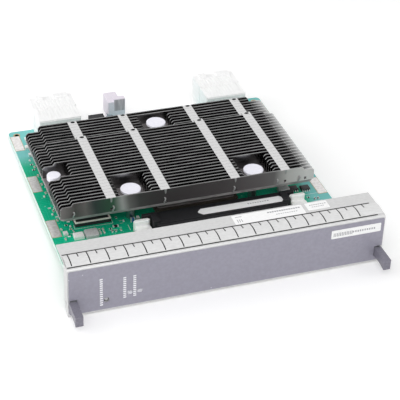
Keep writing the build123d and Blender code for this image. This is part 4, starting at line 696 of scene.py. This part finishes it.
def makeBridgeRim(shape):
    # a stamped ring: a sheet with its middle pushed through
    mesh = bmesh.new()
    left, front, size = shape["left"], shape["front"], shape["size"]
    under, top = shape["zSpan"]
    middle = (spot(left, front, under) + spot(left + size, front + size, under)) / 2
    bmesh.ops.create_grid(mesh, x_segments=1, y_segments=1, size=size / 2000,
                          matrix=Matrix.Translation(middle))
    bmesh.ops.inset_region(mesh, faces=mesh.faces[:], thickness=shape["width"] / 1000, use_even_offset=True,
                           use_boundary=True)
    inner = min(mesh.faces, key=lambda f: (f.calc_center_median() - middle).length)
    bmesh.ops.delete(mesh, geom=[inner], context="FACES")
    lifted, _ = grownFrom(bmesh.ops.extrude_face_region(mesh, geom=mesh.faces[:])["geom"])
    bmesh.ops.translate(mesh, verts=lifted, vec=(0, 0, (top - under) / 1000))
    bmesh.ops.recalc_face_normals(mesh, faces=mesh.faces)
    upright = edgesAlong(lifted, 2)
    roundEdges(mesh, [e for e in edgesOf(lifted) if e not in upright and isCorner(e)], shape["edge"])
    finishPiece(mesh, "bridgeRim", "creamStiffener", standsFor=("bridge_rim",))


tabHoleShape = {"xs": (37.6, 67.0, 106.0, 134.6), "rows": ((116.4, 29.05), (137.4, 26.5)), "radius": 0.9,
                "sides": 24, "stretch": 1.35, "thick": 0.03}


def makeTabHoles(shape):
    # the last tab of each bank has a punched hole; a thin black disc on the tab paints the shade inside it
    mesh = bmesh.new()
    for x in shape["xs"]:
        for y, top in shape["rows"]:
            verts = addRod(mesh, (x, y), (top, top + shape["thick"]), shape["radius"], shape["sides"])
            bmesh.ops.scale(mesh, vec=(shape["stretch"], 1, 1), verts=verts,
                            space=Matrix.Translation(-spot(x, y, top)))
    finishPiece(mesh, "tabHoleShades", "holeShade")


makeHooks(hookShape)
makeTabHoles(tabHoleShape)
makeBridgeRim(rimShape)
print("heatsink hooks, tab holes and bridge rim made")


# Guide block between the connectors
guideShape = {
    # x and z round the section of the rear part, which is bored for the guide pin
    "outline": ((65.8, 8.4), (67.0, 8.4), (67.0, 4.1), (76.2, 4.1), (76.2, 16.4), (73.4, 16.4), (73.4, 19.8),
                (65.8, 19.8)),
    "rear": (167.6, 176.4), "boreCentre": (71.0, 12.75), "sides": 48,
    "boreSteps": ((3.8, 0.0), (3.0, 0.8), (3.0, 7.0)),       # radius and depth of each ring of the bore
    "front": (((65.8, 76.2), (164.4, 168.0), (11.2, 19.8)), ((69.3, 76.2), (164.4, 167.8), (19.2, 21.4)),
              ((68.6, 76.2), (164.4, 168.0), (7.2, 11.6))),
    "edge": 0.25,
    "window": ((69.6, 75.9), (164.28, 164.4), (13.6, 21.0)), "windowEdge": 0.08,      # the darker front face of the tower, a painted shade
}


def makeGuide(shape):
    mesh = bmesh.new()
    front, rear = shape["rear"]
    outline = [mesh.verts.new(spot(x, rear, z)) for x, z in shape["outline"]]
    rim = [mesh.edges.new((outline[i - 1], outline[i])) for i in range(len(outline))]
    axis = spot(shape["boreCentre"][0], rear, shape["boreCentre"][1])
    ring = bmesh.ops.create_circle(mesh, cap_ends=False, segments=shape["sides"],
                                   radius=shape["boreSteps"][0][0] / 1000, matrix=Matrix.Translation(axis)
                                   @ Matrix.Rotation(math.pi / 2, 4, "X"))["verts"]
    mouth = list(edgesOf(ring))
    bmesh.ops.triangle_fill(mesh, use_beauty=True, edges=rim + mouth)
    pulled, opening = grownFrom(bmesh.ops.extrude_edge_only(mesh, edges=rim)["geom"])
    bmesh.ops.translate(mesh, verts=pulled, vec=(0, (front - rear) / 1000, 0))
    bmesh.ops.edgeloop_fill(mesh, edges=opening)
    for (before, start), (after, stop) in zip(shape["boreSteps"], shape["boreSteps"][1:]):
        ring, mouth = grownFrom(bmesh.ops.extrude_edge_only(mesh, edges=mouth)["geom"])
        bmesh.ops.scale(mesh, vec=(after / before, 1, after / before), verts=ring,
                        space=Matrix.Translation(-axis))
        bmesh.ops.translate(mesh, verts=ring, vec=(0, (start - stop) / 1000, 0))
    bmesh.ops.edgeloop_fill(mesh, edges=mouth)
    for spans in shape["front"]:
        addBlock(mesh, *spans)
    bmesh.ops.recalc_face_normals(mesh, faces=mesh.faces)
    roundEdges(mesh, [e for e in mesh.edges if isCorner(e)], shape["edge"])
    finishPiece(mesh, "guideBlock", "zincCasting", standsFor=("guide_block",))
    # a thin darker plate on the tower's front, a painted shade
    face = bmesh.new()
    roundEdges(face, edgesOf(addBlock(face, *shape["window"])), shape["windowEdge"], 1)
    finishPiece(face, "guideShadedFace", "shadedZincFace")


makeGuide(guideShape)
print("guide block made")


# Small parts on the board
smallParts = {
    "under": 7.2, "edge": 0.06, "endShare": 0.24, "endProud": 0.04,
    "kinds": {   # length, width and height in mm
        "small": (1.6, 0.9, 0.9), "chip": (1.6, 0.8, 0.5), "bulk": (3.0, 2.2, 1.5), "array": (3.2, 1.6, 0.8),
        "tall": (2.4, 1.4, 2.4)},
    # kind, body finish and places; a place is x, y and 1 where the length runs front to back
    "source": (
        ("small", "tanCeramic", (
            (12.4, 54.3, 1), (12.4, 63.3, 1), (12.4, 72.3, 1), (12.4, 81.3, 1), (12.4, 99.3, 1),
            (12.4, 108.3, 1), (12.4, 117.3, 1), (12.4, 126.3, 1), (31.4, 54.6, 1), (33.35, 54.6, 1),
            (31.4, 57.4, 1), (33.35, 57.4, 1))),
        ("small", "glazedResistor", (
            (37.6, 54.4, 1), (39.55, 54.4, 1), (152.6, 53.4, 1), (154.55, 53.4, 1)))),
    "added": (
        ("bulk", "glazedCeramic", ((13.4, 139.2, 0), (13.0, 147.6, 1), (14.6, 156.2, 1), (13.5, 58.8, 1))),
        ("array", "glazedResistor", (
            (14.6, 143.0, 1), (16.2, 151.6, 1), (14.4, 129.4, 1), (14.9, 111.0, 1), (14.7, 97.4, 1),
            (14.8, 78.6, 1), (40.6, 58.6, 0))),
        ("chip", "glazedResistor", (
            (11.4, 129.6, 0), (11.3, 124.0, 0), (14.9, 124.4, 1), (14.8, 116.4, 0), (13.9, 105.2, 0),
            (14.8, 102.6, 1), (14.2, 94.2, 1), (13.9, 84.2, 0), (14.6, 73.4, 1), (15.7, 66.8, 0),
            (18.2, 60.4, 1), (43.0, 66.2, 1), (37.4, 57.3, 0), (149.6, 55.6, 0))),
        ("chip", "glazedCeramic", (
            (11.2, 78.4, 1), (11.0, 84.6, 0), (10.9, 96.4, 1), (11.4, 134.2, 1), (15.2, 134.4, 0),
            (15.0, 120.2, 0), (14.9, 106.9, 1), (14.3, 81.6, 1), (12.9, 75.6, 0), (17.6, 69.6, 0),
            (17.6, 65.2, 1), (14.9, 56.4, 0), (18.8, 160.2, 1), (18.0, 145.0, 0), (46.0, 62.4, 1))),
        ("chip", "tanCeramic", (
            (17.4, 157.4, 1), (17.6, 148.2, 1), (15.0, 126.8, 0), (14.0, 113.0, 0), (15.2, 99.8, 0),
            (15.4, 75.8, 1), (17.2, 62.6, 0), (42.4, 54.6, 1))),
        ("tall", "blueEpoxy", ((50.6, 60.6, 0),)),
        ("tall", "glazedCeramic", ((53.6, 60.9, 1),))),
}


def makeSmallParts(look):
    bodies, ends = {}, {"source": bmesh.new(), "added": bmesh.new()}
    under, proud = look["under"], look["endProud"]
    for group, tips in ends.items():
        for kind, finish, places in look[group]:
            mesh = bodies.setdefault((group, finish), bmesh.new())
            length, width, height = look["kinds"][kind]
            half, cap = length / 2, length * look["endShare"]
            sections = ((cap - half, half - cap, 0.0, mesh), (-half, cap - half, proud, tips),
                        (half - cap, half, proud, tips))
            for x, y, turned in places:
                for start, stop, extra, target in sections:
                    xs, ys = (start, stop), (-width / 2 - extra, width / 2 + extra)
                    if turned:
                        xs, ys = ys, xs
                    verts = addBlock(target, (x + xs[0], x + xs[1]), (y + ys[0], y + ys[1]),
                                     (under, under + height - proud + extra))
                    roundEdges(target, edgesOf(verts), look["edge"], 1)
    for (group, finish), mesh in bodies.items():
        finishPiece(mesh, f"{group}Bodies{finish[0].upper()}{finish[1:]}", finish,
                    standsFor=("ceramic_capacitors",) if group == "source" else ())
    for group, mesh in ends.items():
        finishPiece(mesh, f"{group}Ends", "tinnedPads")
    return len(bodies) + len(ends)


printShape = {
    "under": 7.2, "thick": 0.03,
    # printed outlines on the board: x span and y span of each stroke
    "strokes": (((19.4, 40.2), (62.2, 62.42)), ((19.4, 19.62), (62.2, 66.0)), ((40.0, 40.22), (62.2, 66.0)),
                ((43.6, 45.4), (60.8, 61.0)), ((43.6, 45.4), (63.2, 63.4)), ((47.2, 47.4), (53.4, 58.6)),
                ((42.2, 43.6), (57.2, 57.4)), ((36.2, 40.8), (56.0, 56.2)), ((16.0, 18.6), (58.6, 58.8)),
                ((146.8, 158.8), (58.9, 59.1)), ((151.0, 156.4), (51.6, 51.8)),
                ((15.2, 17.4), (137.2, 137.4)), ((16.4, 16.6), (140.0, 145.0))),
    # copper rings round the holes: centre, inner and outer radius
    "rings": (((10.2, 163.1), 1.25, 2.0), ((157.8, 163.1), 1.25, 2.0)), "ringSides": 48,
    "pads": {"xs": ((6.2, 11.2), (156.8, 161.8)), "ys": ((58.0, 73.5), (102.2, 117.7), (146.4, 161.9)),
             "margin": 0.35, "edges": (6.0, 162.0), "thick": 0.01},
}


def makePrint(shape):
    ink, copper = bmesh.new(), bmesh.new()
    under = shape["under"]
    zSpan = (under, under + shape["thick"])
    for xSpan, ySpan in shape["strokes"]:
        addBlock(ink, xSpan, ySpan, zSpan)
    for centre, inner, outer in shape["rings"]:
        addRod(copper, centre, zSpan, outer, shape["ringSides"])
        caps = [f for f in copper.faces if len(f.verts) == shape["ringSides"]]
        bmesh.ops.inset_individual(copper, faces=caps, thickness=(outer - inner) / 1000, use_even_offset=True)
        loops = [e for f in caps for e in f.edges]
        bmesh.ops.delete(copper, geom=caps, context="FACES_ONLY")
        bmesh.ops.bridge_loops(copper, edges=loops)
    pads = shape["pads"]
    margin, (leftmost, rightmost) = pads["margin"], pads["edges"]
    for left, right in pads["xs"]:
        for front, back in pads["ys"]:
            addBlock(copper, (max(left - margin, leftmost), min(right + margin, rightmost)),
                     (front - margin, back + margin), (under, under + pads["thick"]))
    bmesh.ops.recalc_face_normals(copper, faces=copper.faces)
    finishPiece(ink, "boardPrint", "whiteInk")
    finishPiece(copper, "copperRings", "bareCopper")


coreShape = {"xs": ((21.0, 46.0), (122.0, 147.0)), "inset": 0.3, "ySpan": (150.1, 163.2),
             "zSpan": (7.2, 22.15), "edge": 0.1}


def makeCores(shape):
    # the moulded comb that holds the wafers of each connector, just under their tops
    mesh = bmesh.new()
    for left, right in shape["xs"]:
        xSpan = (left + shape["inset"], right - shape["inset"])
        roundEdges(mesh, edgesOf(addBlock(mesh, xSpan, shape["ySpan"], shape["zSpan"])), shape["edge"])
    finishPiece(mesh, "waferCombs", "connectorPolymer")


makeCores(coreShape)
print("small parts made:", makeSmallParts(smallParts))
makePrint(printShape)


# Labels and printed marks
labelShape = {
    "thick": 0.09,
    # the level of the face that each group lies on, and the radius and segments of its labels' corners
    "faces": {"shelf": 29.0, "skin": -0.5, "socket": 12.9},
    "corners": {"shelf": (0.5, 3), "skin": (0.5, 3), "socket": (2.2, 1)},
    "shelf": (((91.0, 129.4), (13.2, 21.2)), ((131.3, 143.4), (15.0, 21.5))),
    "skin": (((138.0, 165.6), (20.2, 25.3)),),
    "socket": (((84.0, 133.0), (48.6, 54.0)),),
}


def addFlat(mesh, group, xSpan, span, gap, thick):
    # a thin block that lies on the shelf or the socket, or stands on the skin of the front
    face = labelShape["faces"][group]
    if group == "skin":
        return addBlock(mesh, xSpan, (face - gap - thick, face - gap), span)
    return addBlock(mesh, xSpan, span, (face + gap, face + gap + thick))


def makeLabels(shape):
    mesh = bmesh.new()
    for group, (radius, segments) in shape["corners"].items():
        for xSpan, span in shape[group]:
            verts = addFlat(mesh, group, xSpan, span, 0.0, shape["thick"])
            roundEdges(mesh, edgesAlong(verts, 1 if group == "skin" else 2), radius, segments)
    finishPiece(mesh, "paperLabels", "labelPaper")


barShape = {
    "ink": 0.02,
    # faint generic bars on the labels: start, end, across span, step and bar share
    "shelf": ((110.0, 127.0, (18.6, 19.6), 1.3, 0.75), (114.0, 125.0, (16.2, 16.8), 1.2, 0.6),
              (92.6, 96.2, (19.3, 19.7), 4.0, 0.9), (92.8, 95.8, (14.8, 17.4), 1.1, 0.35),
              (133.2, 141.6, (18.9, 19.5), 1.2, 0.7), (134.0, 140.0, (17.2, 17.7), 1.2, 0.7)),
    "skin": ((139.2, 149.2, (21.4, 23.6), 0.9, 0.55), (149.8, 162.8, (22.2, 23.3), 1.3, 0.6)),
    "socket": ((112.0, 124.0, (51.2, 51.8), 1.4, 0.7),),
}


def makeBars(shape):
    mesh = bmesh.new()
    for group in ("shelf", "skin", "socket"):
        for start, stop, span, step, share in shape[group]:
            x = start
            while x < stop:
                addFlat(mesh, group, (x, x + step * share), span, labelShape["thick"], shape["ink"])
                x += step
    finishPiece(mesh, "labelBars", "greyPrint")


legendShape = {
    "ink": 0.03, "width": 1.5, "gap": 0.5,
    # short strokes up the face beside the button and the lamps: x, lowest, highest and step
    "columns": ((16.8, 4.5, 22.4, 1.3), (28.7, 6.8, 20.4, 1.2), (33.8, 6.9, 20.6, 1.2)),
}


def makeLegend(shape):
    mesh = bmesh.new()
    for x, low, high, step in shape["columns"]:
        z = low
        while z + step <= high:
            xSpan = (x - shape["width"] / 2, x + shape["width"] / 2)
            addFlat(mesh, "skin", xSpan, (z, z + step - shape["gap"]), 0.0, shape["ink"])
            z += step
    finishPiece(mesh, "faceLegend", "whiteInk")


makeLabels(labelShape)
makeBars(barShape)
makeLegend(legendShape)
print("labels and marks made")
